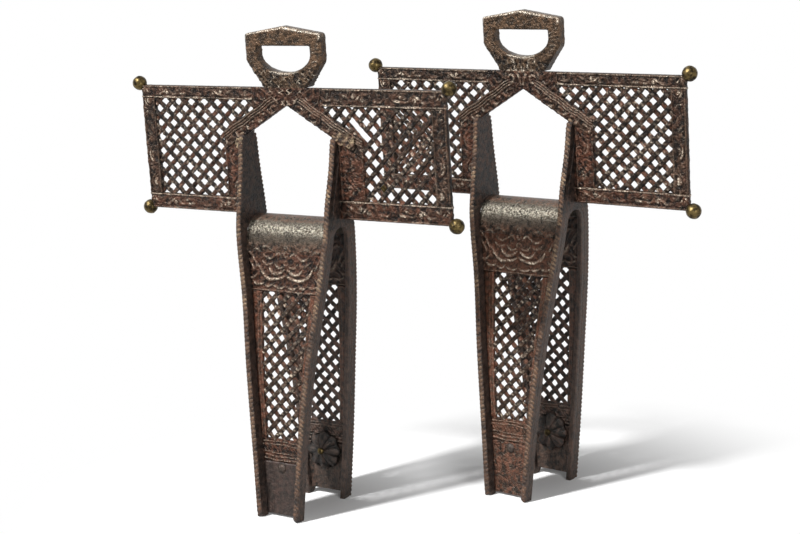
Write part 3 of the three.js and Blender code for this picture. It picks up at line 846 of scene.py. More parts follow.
def scales(x, z):
    """Leaf-like scales in a net of ridges, cut unevenly and partly rubbed away."""
    u, v = x + 0.9 * uneven(x, z, 8, seed=11), z + 0.9 * uneven(x, z, 8, seed=12)
    slants = [(u + side * SCALE_SLOPE * v) / SCALE_MM for side in (-1, 1)]
    nets = [np.abs(np.mod(slant, 1) - 0.5) * SCALE_MM for slant in slants]
    left = np.clip(0.75 + 0.6 * uneven(x, z, 5, seed=13), 0.35, 1)
    return left * np.maximum(*[rounded(net, SCALE_RIDGE) for net in nets])


PALMETTE = [
    spiral((13.0, 391.5), 7.6, math.pi * 0.72, -1.3, 22),
    np.array([(8.6, 397.6), (4.5, 394.5), (2.4, 390.5), (1.2, 385.5)]),
    spiral((12.5, 406.5), 4.2, math.pi * 1.1, -1.1, 14),
    np.array([(0, 396), (0, 402.5)]),
    np.array([(1.5, 397.0), (4.2, 401.0), (2.6, 403.8)]),
    np.array([(3.5, 396.5), (7.5, 399.5), (7.0, 403.0)]),
    spiral((25.0, 392.0), 4.2, math.pi * 0.9, -1.2, 12),
]


def palmette(x, z):
    bold = rounded(distance_to(np.abs(x), z, PALMETTE), PALMETTE_HALF)
    return np.maximum(bold, 0.6 * tracery(x, z, *FINE_FILLING, seed=16))


# %% Braces
RIDGES_FROM_TOP, RIDGE_HALF = (1.6, 4.0, 6.4), 0.95
LEAF_PERIOD, LEAF_HALF, LEAF_MIDDLE = 15.0, 1.2, 4.6
MIDDLE_FOOT, MIDDLE_SPREAD, MIDDLE_BLEND = 372, 0.85, 4
BRACE_RUST = 0.2


def brace_height(x, z, middle):
    """Height, and wear with painted glints, on the braces, which give way to the middle's own ornament
    near X = 0.
    """
    across = (z - brace_lower(x)) * BRACE_COS
    along = np.abs(x) / BRACE_COS + across * BRACE_TAN
    ridge_lines = [[(BRACE_BAND - r, -9), (BRACE_BAND - r, 9)] for r in RIDGES_FROM_TOP]
    wandering = across + 0.4 * uneven(x, z, 12, seed=9)
    ridges = rounded(distance_to(wandering, 0 * across, ridge_lines), RIDGE_HALF)
    leaves = leaf_row(along, across - LEAF_MIDDLE, LEAF_PERIOD, LEAF_HALF)
    under_ridges = across < BRACE_BAND - RIDGES_FROM_TOP[-1] - 1
    filling = 0.6 * tracery(x, z, *FINE_FILLING, seed=17) * under_ridges
    corner = 0.7 * tracery(x, z, 6.5, 1.0, seed=18) * (across > BRACE_BAND)
    outside = ramp(np.abs(x), MIDDLE_SPREAD * (z - MIDDLE_FOOT), MIDDLE_BLEND)
    carved = np.maximum.reduce([ridges, leaves, filling, corner]) * outside
    centre = middle(x, z) * (1 - outside)
    height = BORDER_RISE * np.maximum(carved, centre) + chiselled(x, z)
    # The glint patches paint the crests of leaves, filling and middle bright: wear together with painted
    # highlights.
    glint = glints(x, z, seed=20)
    beside = 0.25 * ridges**3 + glint * (0.6 * leaves**4 + 0.5 * (filling + corner) ** 3)
    return height, np.clip(beside * outside + 0.65 * glint * centre**4, 0, 1)


def brace(window, middle):
    parts = []
    inner = window["inner"]
    for x0, x1, top0, top1 in (
        (0.0, CORNER_START, CROSS_TOP, CROSS_TOP),
        (CORNER_START, inner, brace_lower(CORNER_START) + BRACE_RISE, brace_lower(inner) + BRACE_RISE),
    ):
        low = [(x0, brace_lower(x0)), (x1, brace_lower(x1))]
        x, z = strip_grid(low, [(x0, top0), (x1, top1)], BRACE_GRID)
        height, worn = brace_height(x, z, middle)
        parts.append(slab(x, z, height, worn, BRACE_RUST))
    return join_shapes(parts)


# %% Join the borders into the cross's frame
def half_frame(window, middle):
    borders = [border(window) for border in (top_border, bottom_border, outer_border, inner_border)]
    return join_shapes([*borders, brace(window, middle)])


WINGS = {
    "left_stirrup": {"left": "left", "right": "right", "middle": scales},
    "right_stirrup": {"left": "left", "right": "far_right", "middle": palmette},
}
for stirrup, wings in WINGS.items():
    left_half = mirror_shape(half_frame(WINDOWS[wings["left"]], wings["middle"]))
    right_half = half_frame(WINDOWS[wings["right"]], wings["middle"])
    cross_frame = join_shapes([left_half, right_half])
    add_piece(stirrup, "cross_borders", cross_frame, IRON, ["gable"])
    print(stirrup, "cross borders:", len(cross_frame["quads"]), "faces")

# %% [markdown]
# ### The pierced windows
# Holes stand in a quincunx, so the bars between them run along two diagonals. A bar's middle
# line is walked in small steps, and the stretches that lie inside the window become bars. Each
# wing was pierced by hand, so each lattice has steps of its own. Two bars in the near
# stirrup's right wing are broken out, which leaves one long slot.

# %% Bars of a lattice
LATTICES = {
    "left": {"step": (8.0, 6.95), "holes": (0.56, 0.61), "first": (WINDOW_OUTER - 12.2, 382.9)},
    "right": {"step": (7.36, 7.46), "holes": (0.56, 0.61), "first": (WINDOW_OUTER - 4.94, 375.44)},
    "far_right": {"step": (7.45, 6.9), "holes": (0.52, 0.57), "first": (WINDOW_OUTER - 11.7, 380.7)},
    "leg": {"step": (6.8, 6.75), "holes": (0.49, 0.54), "first": (3.4, LEG_WINDOW_FOOT + 5.5)},
}
UNDER_BORDER = 1.6
WALK, LEAST_WALK = 0.4, 4
BAR_LIFT, BAR_STEP = 0.45, 1.8
BUMP_SIZE, BUMP_RISE = 2.4, 0.4


def bar_width(lattice):
    """Width that leaves diamond holes whose half sizes are these shares of the steps."""
    (sx, sz), (ax, az) = lattice["step"], lattice["holes"]
    return (1 / ax + 1 / az - 2) / math.hypot(1 / (sx * ax), 1 / (sz * az))


def bar_stretches(lattice, reach, is_inside, is_broken, rising):
    """Ends of each bar of one family, walked along its middle line."""
    (sx, sz), (x0, z0) = lattice["step"], lattice["first"]
    slope = 1 if rising else -1
    t = np.arange(-reach, reach, WALK / math.hypot(sx, sz))
    stretches = []
    for k in range(-2 * reach + 1, 2 * reach, 2):
        p, q = k / 2 + t, slope * (t - k / 2)
        x, z = x0 + sx * p, z0 + sz * q
        kept = is_inside(x, z) & ~is_broken(p, q, rising)
        starts = np.flatnonzero(kept[1:] & ~kept[:-1]) + 1
        ends = np.flatnonzero(kept[:-1] & ~kept[1:])
        stretches += [((x[a], z[a]), (x[b], z[b])) for a, b in zip(starts, ends) if b - a > LEAST_WALK]
    return stretches


def lattice_shape(lattice, reach, is_inside, is_broken, thickness):
    """Both families of bars. The rising one lies a little to the front, and the other is browner."""
    parts = []
    for rising, shift in ((True, -BAR_LIFT), (False, BAR_LIFT)):
        points, edges = [], []
        y = thickness / 2 + shift
        for a, b in bar_stretches(lattice, reach, is_inside, is_broken, rising):
            edges.append((len(points), len(points) + 1))
            points += [(a[0], y, a[1]), (b[0], y, b[1])]
        values = {"Width": bar_width(lattice), "Thickness": thickness - 2 * BAR_LIFT, "Step": BAR_STEP}
        bars = shape_along(BAR_TREE, points, edges, values, rust=0.0 if rising else 0.5)
        bumps = uneven(bars["points"][:, 0], bars["points"][:, 2], BUMP_SIZE, seed=21)
        bars["points"][:, 1] -= BUMP_RISE * bumps
        # The sides of each bar, the walls of the holes, are kept dark: painted shade. The bumps paint
        # glint specks on the bars' faces.
        off_middle = np.abs(bars["points"][:, 1] - thickness / 2 - shift)
        lit = ramp(off_middle / (thickness / 2 - BAR_LIFT), 0.5, 0.4)
        bars["worn"] = np.clip(0.45 * bumps - 0.26, 0, 1) * lit
        bars["raised"] = np.clip((0.0 if rising else 0.35) + 0.35 * bumps, 0, 1) * lit
        parts.append(bars)
    return join_shapes(parts)


# %% Lattices of the wings


def in_wing_window(window):
    grown = UNDER_BORDER

    def is_inside(x, z):
        inside = (x > CORNER_START - grown) & (x < WINDOW_OUTER + grown)
        inside &= (z > window["bottom"] - grown) & (z < window["top"] + grown)
        return inside & ((x > window["inner"] - grown) | (z > brace_lower(x) + BRACE_RISE - grown))

    return is_inside


def whole(p, q, rising):
    return np.zeros(np.shape(p), bool)


def bars_lost(p, q, rising):
    """The break starts at the hole eleven columns in and one row down from the first one."""
    if not rising:
        return whole(p, q, rising)
    in_slot = np.abs(p + q + 12) < 0.8
    return in_slot & (np.isclose(p - q, -9) | np.isclose(p - q, -7))


WING_REACH = 30
LOST_BARS = {"left": whole, "right": bars_lost, "far_right": whole}


def wing_bars(wing):
    return lattice_shape(
        LATTICES[wing], WING_REACH, in_wing_window(WINDOWS[wing]), LOST_BARS[wing], CROSS_THICKNESS)


for stirrup, wings in WINGS.items():
    left_bars = mirror_shape(wing_bars(wings["left"]))
    right_bars = wing_bars(wings["right"])
    add_piece(stirrup, "left_wing_bars", left_bars, IRON, ["left_wing"])
    add_piece(stirrup, "right_wing_bars", right_bars, IRON, ["right_wing"])
    print(stirrup, "wing bars:", len(left_bars["quads"]), len(right_bars["quads"]), "faces")

# %% [markdown]
# ## Side plates
# Each side plate is cheek, arch and two leg flanges in one, and its outer edges are filed ropes.
# It is swept upwards as a closed loop: two loops below the arch, one above it. The corners are
# eased by a millimetre, and a fine line is cut along the outer face behind the front edge of
# each loop.

# %% Loops of a side plate
EASE = 0.9
LINE_FROM_EDGE = 7.0
LINE_WIDTH = 0.9
LINE_DEPTH = 0.45
ROPE_SEAT = 0.7
# The legs are painted lighter and the cheek darker: painted light on the legs and painted shade on the
# cheek.
LEG_PAINTED_LIGHT, CHEEK_PAINTED_SHADE = 0.65, 0.1
PLATE_RUST = 0.2


def rounding_inset(radius, from_end):
    rise = radius - np.clip(from_end, 0, radius)
    return radius - np.sqrt(radius**2 - rise**2)


def loop_at(z, front, back):
    """Points round a side plate's section at a height, seen from above, as offsets in x and y."""
    outer, inner = half_width(z), half_width(z) - PLATE_THICKNESS
    ease = min(EASE, (back - front) / 4)
    line = min(LINE_FROM_EDGE, (back - front) / 3)
    return [
        (inner + ease, front), (outer - ease, front), (outer, front + ease),
        (outer, front + line), (outer - LINE_DEPTH, front + line + LINE_WIDTH / 2),
        (outer, front + line + LINE_WIDTH), (outer, (front + back) / 2 + 0.1),
        (outer, back - ease), (outer - ease, back), (inner + ease, back), (inner, back - ease),
        (inner, (front + back) / 2 + 0.1), (inner, front + ease),
    ]


def sweep_up(levels, edges_at, raised, rust):
    rows = [[(x, y, z) for x, y in loop_at(z, *edges_at(z))] for z in levels]
    count = len(rows[0])
    quads = []
    for i in range(len(rows) - 1):
        for j in range(count):
            k = (j + 1) % count
            quads.append((i * count + j, i * count + k, (i + 1) * count + k, (i + 1) * count + j))
    bottom = tuple(range(count))[::-1]
    top = tuple(range((len(rows) - 1) * count, len(rows) * count))
    return make_shape(rows, quads, 0.0, rust, [bottom, top], raised)


def ends_drawn_in(z):
    return rounding_inset(CHEEK_ROUNDING, SIDE_TOP - z) + rounding_inset(FOOT_ROUNDING, z)


def arch_edges(z):
    """Inner edges of the front and back leg, which close to an arch above the spring."""
    front = front_edge(min(z, ARCH_SPRING)) + FRONT_FLANGE
    back = back_edge(min(z, ARCH_SPRING)) - BACK_FLANGE
    rise = np.clip((z - ARCH_SPRING) / (ARCH_TOP - ARCH_SPRING), 0, 1)
    opening = (back - front) / 2 * math.sqrt(1 - rise**2)
    return (front + back) / 2 - opening, (front + back) / 2 + opening


def plate_edges(z):
    """Outer edges of the whole plate, drawn in where its top and its feet are rounded."""
    return front_edge(z) + ends_drawn_in(z), back_edge(z) - ends_drawn_in(z)


def front_leg_edges(z):
    return plate_edges(z)[0], arch_edges(z)[0]


def back_leg_edges(z):
    return arch_edges(z)[1], plate_edges(z)[1]


def side_plate():
    foot = FOOT_ROUNDING * (1 - np.cos(np.linspace(0, math.pi / 2, 6)))
    arch = ARCH_SPRING + (ARCH_TOP - ARCH_SPRING) * np.sin(np.linspace(0, math.pi / 2, 9))
    crown = SIDE_TOP - CHEEK_ROUNDING + CHEEK_ROUNDING * np.sin(np.linspace(0, math.pi / 2, 8))
    legs = np.concatenate([foot, np.arange(FOOT_ROUNDING + 4, ARCH_SPRING - 3, 4), arch])
    cheek = np.concatenate([np.arange(ARCH_TOP, SIDE_TOP - CHEEK_ROUNDING - 3, 4), crown])
    return join_shapes([
        sweep_up(legs, front_leg_edges, LEG_PAINTED_LIGHT, PLATE_RUST),
        sweep_up(legs, back_leg_edges, LEG_PAINTED_LIGHT, PLATE_RUST),
        sweep_up(cheek, plate_edges, CHEEK_PAINTED_SHADE, PLATE_RUST),
    ])


# %% Rope along the edges of a side plate
ROPE_FOOT, ROPE_END, ROPE_STEP = 3.1, 2.0, 2.5
ROPE_RUST = 0.35
FRONT_WEAR_AND_SHEEN, BACK_WEAR_AND_SHEEN = 0.45, 0.1
BOLD_STRAND = {"Length": 3.75, "Height": 1.9}


def rope(edge, inwards, wear_and_sheen, sizes):
    """Strands along one edge, painted lighter and brighter towards the top: painted light and highlights
    together with wear. inwards is the sign of Y into the plate.
    """
    z = np.arange(ROPE_FOOT, SIDE_TOP - ROPE_END, ROPE_STEP)
    x = half_width(z) - PLATE_THICKNESS / 2
    y = edge(z) + inwards * (ends_drawn_in(z) + ROPE_SEAT)
    points = np.stack([x, y, z], -1)
    edges = [(i, i + 1) for i in range(len(points) - 1)]
    strands = shape_along(STRAND_TREE, points, edges, sizes, rust=ROPE_RUST)
    up, along = strands["points"][:, 2], strands["points"][:, 1]
    patch = uneven(up, along, 8, seed=71) + 0.5 * uneven(up, along, 2.5, seed=72)
    # Painted light and highlights: the strands grow lighter and brighter with height.
    strands["raised"] = np.clip(0.2 + 0.8 * up / SIDE_TOP + 0.4 * patch, 0, 1)
    strands["worn"] = np.clip(wear_and_sheen * (0.4 + patch) * up / SIDE_TOP, 0, 1)
    return strands


plate = side_plate()
front_rope = rope(front_edge, 1, FRONT_WEAR_AND_SHEEN, {})
back_rope = rope(back_edge, -1, BACK_WEAR_AND_SHEEN, BOLD_STRAND)
ropes = join_shapes([front_rope, back_rope])
for stirrup in STIRRUPS:
    add_piece(stirrup, "right_cheek_and_legs", plate, DARK_IRON, ["right_side_plate"])
    add_piece(stirrup, "left_cheek_and_legs", mirror_shape(plate), DARK_IRON, ["left_side_plate"])
    add_piece(stirrup, "right_rope_edges", ropes, ROPE_IRON)
    add_piece(stirrup, "left_rope_edges", mirror_shape(ropes), ROPE_IRON)
print("side plate:", len(plate["quads"]), "faces, ropes:", len(ropes["quads"]), "faces")

# %% [markdown]
# ## Strap eye
# The leather goes through a thick forged ring that grows out of the cross on a flared neck. It
# is star-shaped round the middle of its hole, so its face is a grid of rays: each ray runs from
# the hole to the outline, and the ornament is a height on it.

# %% Outlines of the eye, in the order of the angle
EYE_HALF, EYE_SIDE_BAR, EYE_TOP_BAR = 43.3, 13.0, 18.0
EYE_CROWN = 6.8
EYE_WAIST = 24.0
EYE_SILL = 13.5
EYE_STRAIGHT = 8.0
EYE_CENTRE_Z = 425.0
EYE_RAYS = 720
EYE_RINGS = 40


def eye_outline():
    right = [(NECK_HALF, CROSS_TOP), (EYE_HALF, CROSS_TOP + EYE_WAIST), (EYE_HALF, EYE_TOP - EYE_CROWN)]
    return np.array([*right, (0, EYE_TOP), *[(-x, z) for x, z in right[::-1]]])


def eye_hole():
    half, top = EYE_HALF - EYE_SIDE_BAR, EYE_TOP - EYE_TOP_BAR
    spring = top - EYE_STRAIGHT
    angle = np.linspace(-math.pi, 0, 40)
    depth = spring - CROSS_TOP - EYE_SILL
    bowl = np.stack([half * np.cos(angle), spring + depth * np.sin(angle)], -1)
    return np.concatenate([bowl, [(half, top), (-half, top)]])


def reach(outline, angles):
    """Distance from the eye's centre to a closed outline, along rays at these angles."""
    centre = np.array((0, EYE_CENTRE_Z))
    a, b = outline - centre, np.roll(outline, -1, 0) - centre
    ray = np.stack([np.cos(angles), np.sin(angles)], -1)[:, None]
    edge = (b - a)[None]
    cross = ray[..., 0] * edge[..., 1] - ray[..., 1] * edge[..., 0]
    safe = np.where(np.abs(cross) < 1e-9, 1e-9, cross)
    distance = (a[None, :, 0] * edge[..., 1] - a[None, :, 1] * edge[..., 0]) / safe
    share = (a[None, :, 0] * ray[..., 1] - a[None, :, 1] * ray[..., 0]) / safe
    hit = (share >= -1e-6) & (share <= 1 + 1e-6) & (distance > 0)
    return np.where(hit, distance, np.inf).min(1)


# %% Ornament of the eye
EYE_CHAMFER, HOLE_CHAMFER = 2.4, 1.8
NECK_TOP, LIP_TOP = 417.0, 413.5
CUTS_INSIDE, CUTS_MIDDLE, CUTS_TOP = 31, 37, 443
CUT_PITCH, CUT_HALF = 4.0, 1.1
CREST_FOOT = 441


def eye_height(x, z, from_hole, from_rim, middle):
    """Eased hole and rim, scale-like cuts down the sides, and the neck's ornament below."""
    from_base = z - CROSS_TOP
    rim = np.clip(1 - from_rim / EYE_CHAMFER, 0, 1) ** 1.5 * np.clip(from_base / 3, 0, 1)
    ease = 1.5 * rim + 1.2 * np.clip(1 - from_hole / HOLE_CHAMFER, 0, 1) ** 2
    low = np.clip((NECK_TOP - z) / 4, 0, 1)
    side = ramp(np.abs(x), CUTS_INSIDE, 2) * np.clip((CUTS_TOP - z) / 4, 0, 1) * (1 - low)
    row = np.mod(z + 0.05 * (np.abs(x) - CUTS_MIDDLE) ** 2, CUT_PITCH) - CUT_PITCH / 2
    side = side * np.where(x > 0, 0.8, 0.3) * np.clip(0.7 + 0.6 * uneven(x, z, 5, seed=15), 0.1, 1)
    scallops = rounded(row, CUT_HALF) * side * ramp(from_rim, 1.5, 1.5)
    neck = middle(x, z) * low * ramp(from_hole, 2.0, 1.5)
    side_lines = 0.5 * tracery(x, z, 4.5, 0.6, seed=19) * (1 - low) * ramp(from_rim, 2, 1.5)
    carved = 0.8 * scallops + BORDER_RISE * 0.9 * neck + 0.5 * side_lines + chiselled(x, z)
    lip = np.exp(-((from_hole - 1.0) / 1.0) ** 2) * np.clip((LIP_TOP - z) / 1.5, 0, 1)
    # A band along the top of the rim is painted bright as a painted highlight, and the neck's glints and
    # the scallop crests are painted highlights together with wear.
    crest_highlight = np.exp(-((from_rim - 1.3) / 0.9) ** 2) * ramp(z, CREST_FOOT, 3)
    cut_wear_and_glints = 0.65 * glints(x, z, seed=20) * neck**4 + 0.25 * scallops**2
    worn = cut_wear_and_glints + 0.7 * lip + crest_highlight + 0.1 * side_lines**2
    return carved - ease, np.clip(worn, 0, 1)


# %% Build the eye
# in rays to each side
HOLE_SOFTNESS, RIM_SOFTNESS = 3, 5
FILED_ABOVE, GOLDEN_ABOVE = 411, 6


def softened(radii, rays):
    """The mean over a few neighbouring rays, which rounds an outline's corners."""
    return np.mean([np.roll(radii, k) for k in range(-rays, rays + 1)], axis=0)


def strap_eye(middle):
    angles = np.linspace(0, 2 * math.pi, EYE_RAYS, endpoint=False)
    inner = softened(reach(eye_hole(), angles), HOLE_SOFTNESS)
    outer = softened(reach(eye_outline(), angles), RIM_SOFTNESS)
    share = np.linspace(0, 1, EYE_RINGS)[:, None]
    r = inner + (outer - inner) * share
    x, z = r * np.cos(angles), EYE_CENTRE_Z + r * np.sin(angles)
    height, worn = eye_height(x, z, r - inner, outer - r, middle)
    front = np.stack([x, -height, z], -1).reshape(-1, 3)
    back = np.stack([x, EYE_DEPTH + height, z], -1).reshape(-1, 3)
    count = EYE_RINGS * EYE_RAYS
    index = np.arange(count).reshape(EYE_RINGS, EYE_RAYS)
    after = np.roll(index, -1, 1)
    face = np.stack([index[:-1], index[1:], after[1:], after[:-1]], -1).reshape(-1, 4)
    hole_wall = np.stack([index[0], after[0], after[0] + count, index[0] + count], -1)
    rim_wall = np.stack([after[-1], index[-1], index[-1] + count, after[-1] + count], -1)
    quads = np.concatenate([face, face[:, ::-1] + count, hole_wall, rim_wall])
    filed = ramp(z, FILED_ABOVE, 6)
    raised = np.tile((0.5 * filed + (1 - 0.6 * filed) * raised_share(height)).ravel(), 2)
    golden = 0.15 + 0.3 * ramp(z - CROSS_TOP, GOLDEN_ABOVE, 16)
    worn, rust = np.tile(worn.ravel(), 2), np.tile(golden.ravel(), 2)
    return make_shape(np.concatenate([front, back]), quads, worn, rust, raised=raised)


for stirrup, wings in WINGS.items():
    eye = strap_eye(wings["middle"])
    add_piece(stirrup, "forged_eye", eye, EYE_IRON, ["strap_eye"])
    print(stirrup, "eye:", len(eye["quads"]), "faces")

# %% [markdown]
# ## Leg plates
# The strap that hangs down each pair of legs is 2.6 mm iron. From the top it carries a panel of
# scrolls, the pierced window between two mouldings, a few cross bands, and plain metal at the
# foot. Each part is a slab laid on the leg's curved surface, between two lines that follow the
# legs' widening.

# %% Panels of a leg plate
BORDER_FOOT, BORDER_TOP = 6.3, 12.0
LEG_BAND_FOOT = 52.0
PANEL_GRID = 0.7


def leg_half(z):
    return half_width(z) - PLATE_THICKNESS - PIECE_GAP


def window_half(z):
    low = half_width(LEG_WINDOW_FOOT) - PLATE_THICKNESS - BORDER_FOOT
    high = half_width(LEG_WINDOW_TOP) - PLATE_THICKNESS - BORDER_TOP
    return low + (high - low) * (z - LEG_WINDOW_FOOT) / (LEG_WINDOW_TOP - LEG_WINDOW_FOOT)


def leg_left(z):
    return -leg_half(z)


def window_left(z):
    return -window_half(z)


def leg_panel(left, right, z_low, z_high, height_at, rust, surface, inward):
    """A slab between two side lines, given as functions of the height."""
    z = np.linspace(z_low, z_high, max(2, int((z_high - z_low) / PANEL_GRID) + 1))
    columns = max(2, int((right(z_high) - left(z_high)) / PANEL_GRID) + 1)
    share = np.linspace(0, 1, columns)[None, :]
    x = left(z)[:, None] * (1 - share) + right(z)[:, None] * share
    z = np.repeat(z[:, None], columns, 1)
    height, worn = height_at(x, z)
    return slab(x, z, height, np.clip(worn, 0, 1), rust, surface, STRAP_THICKNESS, inward)


# %% Ornament of the leg plates
LEAVES = [
    bowed((31.5, 233.5), (22, 214.5), (1.0, 225.0), 36),
    bowed((19.0, 232.0), (11, 221.5), (2.2, 230.5), 26),
]
SMALL_LEAVES = [
    bowed((26, 244), (19.5, 236.5), (13, 243.5), 18),
    bowed((28, 249), (22, 253.5), (15, 248), 18),
    bowed((13, 236), (8.5, 229.5), (3.5, 234.0), 16),
    bowed((27, 238), (22, 231.5), (16, 236), 16),
    bowed((38, 247), (34, 251), (30, 246), 14),
    bowed((12, 243), (8, 248.5), (5, 242), 14),
    bowed((13, 215), (7, 211.5), (1.5, 216), 16),
    bowed((25, 216), (19, 212.5), (14, 216.5), 16),
    bowed((38, 219), (32, 213.5), (26, 217), 16),
    bowed((44, 224), (38, 218.5), (33, 225), 16),
]
STRAPS = [
    np.array([(33.5, 232.5), (38.5, 240.5), (48, 249.5)]),
    np.array([(36.8, 229.0), (42, 236.5), (49, 243.5)]),
]
FLOWERS = ((251.5, 2.7), (244.5, 3.3), (237.0, 3.3))
BAND_LEVELS = (54.2, 57.4, 60.6, 68.5, 71.4)


def scroll_panel(x, z):
    """Leaf-shaped crescents round a stack of small flowers, over festoons and a moulding."""
    x, z = x + 0.4 * uneven(x, z, 9, seed=31), z + 0.4 * uneven(x, z, 9, seed=32)
    side = np.abs(x)
    bold = tapered(side, z, LEAVES, 2.2)
    small = tapered(side, z, SMALL_LEAVES, 1.5)
    filling = tracery(x, z, 6, 0.8, seed=33)
    straps = rounded(distance_to(side, z, STRAPS), 1.1)
    rings = [rounded(np.hypot(x, z - at) - 0.62 * size, 0.9) for at, size in FLOWERS]
    flowers = np.maximum.reduce(rings)
    above, below = z - LEG_WINDOW_TOP - 1.4, z - LEG_WINDOW_TOP + 3.0
    foot = np.maximum(rounded(above, 0.8), 0.7 * rounded(below, 0.8))
    shapes = np.maximum.reduce([
        1.35 * bold, 0.85 * small, 0.75 * straps, 0.8 * foot, 0.7 * flowers, 0.55 * filling])
    # The crests are painted bright in glinting patches: wear together with painted highlights.
    worn = 1.2 * bold**5 + 0.8 * small**4 + 0.5 * straps**4 + 0.55 * foot**4 + 0.4 * flowers**4
    worn = worn * (0.35 + 0.65 * glints(x, z, seed=34))
    return BORDER_RISE * shapes + chiselled(x, z), worn


def side_moulding(x, z):
    from_window = np.abs(x) - window_half(z)
    ridges = np.maximum(rounded(from_window - 1.4, 0.9), rounded(from_window - 4.4, 0.9))
    knots = 0.5 * rounded(np.mod(z + 0.6 * np.abs(x), 3.4) - 1.7, 1.0) * np.clip(from_window - 1.5, 0, 1)
    height = BORDER_RISE * (0.45 + 0.25 * np.maximum(ridges, knots)) + 0.6 * chiselled(x, z)
    return height, 0.08 * ridges**3


def foot_bands(x, z):
    wander = 0.4 * uneven(x, z, 10, seed=41)
    ridges = np.maximum.reduce([rounded(z - level + wander, 0.7) for level in BAND_LEVELS])
    slant = rounded(np.mod(x + 0.8 * z, 3.6) - 1.8, 0.8) * (np.abs(z - 64.5) < 3)
    return BORDER_RISE * 0.6 * np.maximum(ridges, slant) + chiselled(x, z), 0.25 * ridges**3


def plain_foot(x, z):
    """Bare metal with faint upright scratches from the file."""
    scratches = 0.12 * uneven(x, 0.06 * z, 1.2, seed=51)
    return 0.4 * FULL_RELIEF + scratches + 0.3 * chiselled(x, z), 0.05 + 0.05 * scratches


# %% Build a leg plate with its lattice
def in_leg_window(x, z):
    grown = UNDER_BORDER
    inside = (z > LEG_WINDOW_FOOT - grown) & (z < LEG_WINDOW_TOP + grown)
    return inside & (np.abs(x) < window_half(z) + grown)


# Height and half width of a band of painted shade on the back foot, round the rosette, and how light its
# darkest part stays.
PAINTED_SHADE_Z, PAINTED_SHADE_HALF, LEAST_SHOWN = 52.0, 22, 0.1
FRONT_FOOT_END, BACK_FOOT_END = 2.5, 6.0
LEG_REACH = 24
FOOT_RUST = 0.3


def leg_foot(surface, inward, foot):
    return leg_panel(
        leg_left, leg_half, foot, LEG_BAND_FOOT, plain_foot, FOOT_RUST, surface, inward)


def leg_plate(surface, inward, top):
    """The scrolls, the cross bands, and the moulding on each side of the pierced window."""
    low, high = LEG_WINDOW_FOOT, LEG_WINDOW_TOP
    panels = (
        (leg_left, leg_half, high, top, scroll_panel, 0.35),
        (leg_left, leg_half, LEG_BAND_FOOT, low, foot_bands, 0.4),
        (window_half, leg_half, low, high, side_moulding, 0.9),
        (leg_left, window_left, low, high, side_moulding, 0.9),
    )
    return join_shapes([leg_panel(*panel, surface, inward) for panel in panels])


def leg_bars(surface, inward):
    bars = lattice_shape(LATTICES["leg"], LEG_REACH, in_leg_window, whole, STRAP_THICKNESS)
    points = bars["points"].copy()
    points[:, 1] = surface(points[:, 2]) + inward * points[:, 1]
    faces = bars["quads"] if inward > 0 else bars["quads"][:, ::-1]
    caps = bars["caps"] if inward > 0 else [c[::-1] for c in bars["caps"]]
    return {**bars, "points": points, "quads": faces, "caps": caps,
            "worn": bars["worn"] * 1.25, "raised": bars["raised"] + 0.16}


# %% Dress the legs
front_plate = leg_plate(front_face, 1, TREAD_FRONT_FOOT - PIECE_GAP)
back_plate = leg_plate(back_face, -1, TREAD_BACK_FOOT - PIECE_GAP)
front_foot = leg_foot(front_face, 1, FRONT_FOOT_END)
back_foot = leg_foot(back_face, -1, BACK_FOOT_END)
# Painted shade: the back foot's ground is darkened in a band round the rosette.
from_painted_shade = np.abs(back_foot["points"][:, 2] - PAINTED_SHADE_Z)
back_foot["raised"] = back_foot["raised"] * np.clip(from_painted_shade / PAINTED_SHADE_HALF, LEAST_SHOWN, 1)
front_bars = leg_bars(front_face, 1)
back_bars = leg_bars(back_face, -1)
# The far stirrup's front panels are painted lighter, which is painted light, and a little redder.
far_plate_painted_lighter = {**front_plate, "rust": front_plate["rust"] + 0.1, "raised": front_plate["raised"] + 0.5}
far_foot = {**front_foot, "rust": front_foot["rust"] + 0.4}
FRONTS = {
    "left_stirrup": (front_plate, front_foot, PLAIN_IRON),
    "right_stirrup": (far_plate_painted_lighter, far_foot, IRON),
}
for stirrup, (panels, foot, foot_iron) in FRONTS.items():
    add_piece(stirrup, "front_panels", panels, IRON, ["front_leg_plate"])
    add_piece(stirrup, "front_foot", foot, foot_iron)
    add_piece(stirrup, "back_foot", back_foot, DARK_IRON)
    add_piece(stirrup, "front_lattice", front_bars, IRON)
    add_piece(stirrup, "back_panels", back_plate, DARK_IRON, ["back_leg_plate"])
    add_piece(stirrup, "back_lattice", back_bars, DARK_IRON)
print("leg plates:", len(front_plate["quads"]), len(back_plate["quads"]), "faces")

# %% [markdown]
# ## Tread
# The strap folds over under the rider's foot: a rounded nose, a level top and a tighter bend down
# to the back. It is swept across the stirrup as a thin shell, and years of boots have rubbed and
# pitted it. A band round its nose is painted bright, which is that wear together with a painted
# highlight, and its top is painted lighter as a painted sheen.

# %% Build the tread
NOSE_DEPTH_SHARE, BEND_SHARE = 0.705, 0.24
NOSE_POINTS, BEND_POINTS = 60, 8
HIGHLIGHT_Z, HIGHLIGHT_HALF = 267.5, 4.5
TOP_START, TOP_BLEND = 272.5, 2
BROWN_BELOW, BROWN_BLEND = 258, 8


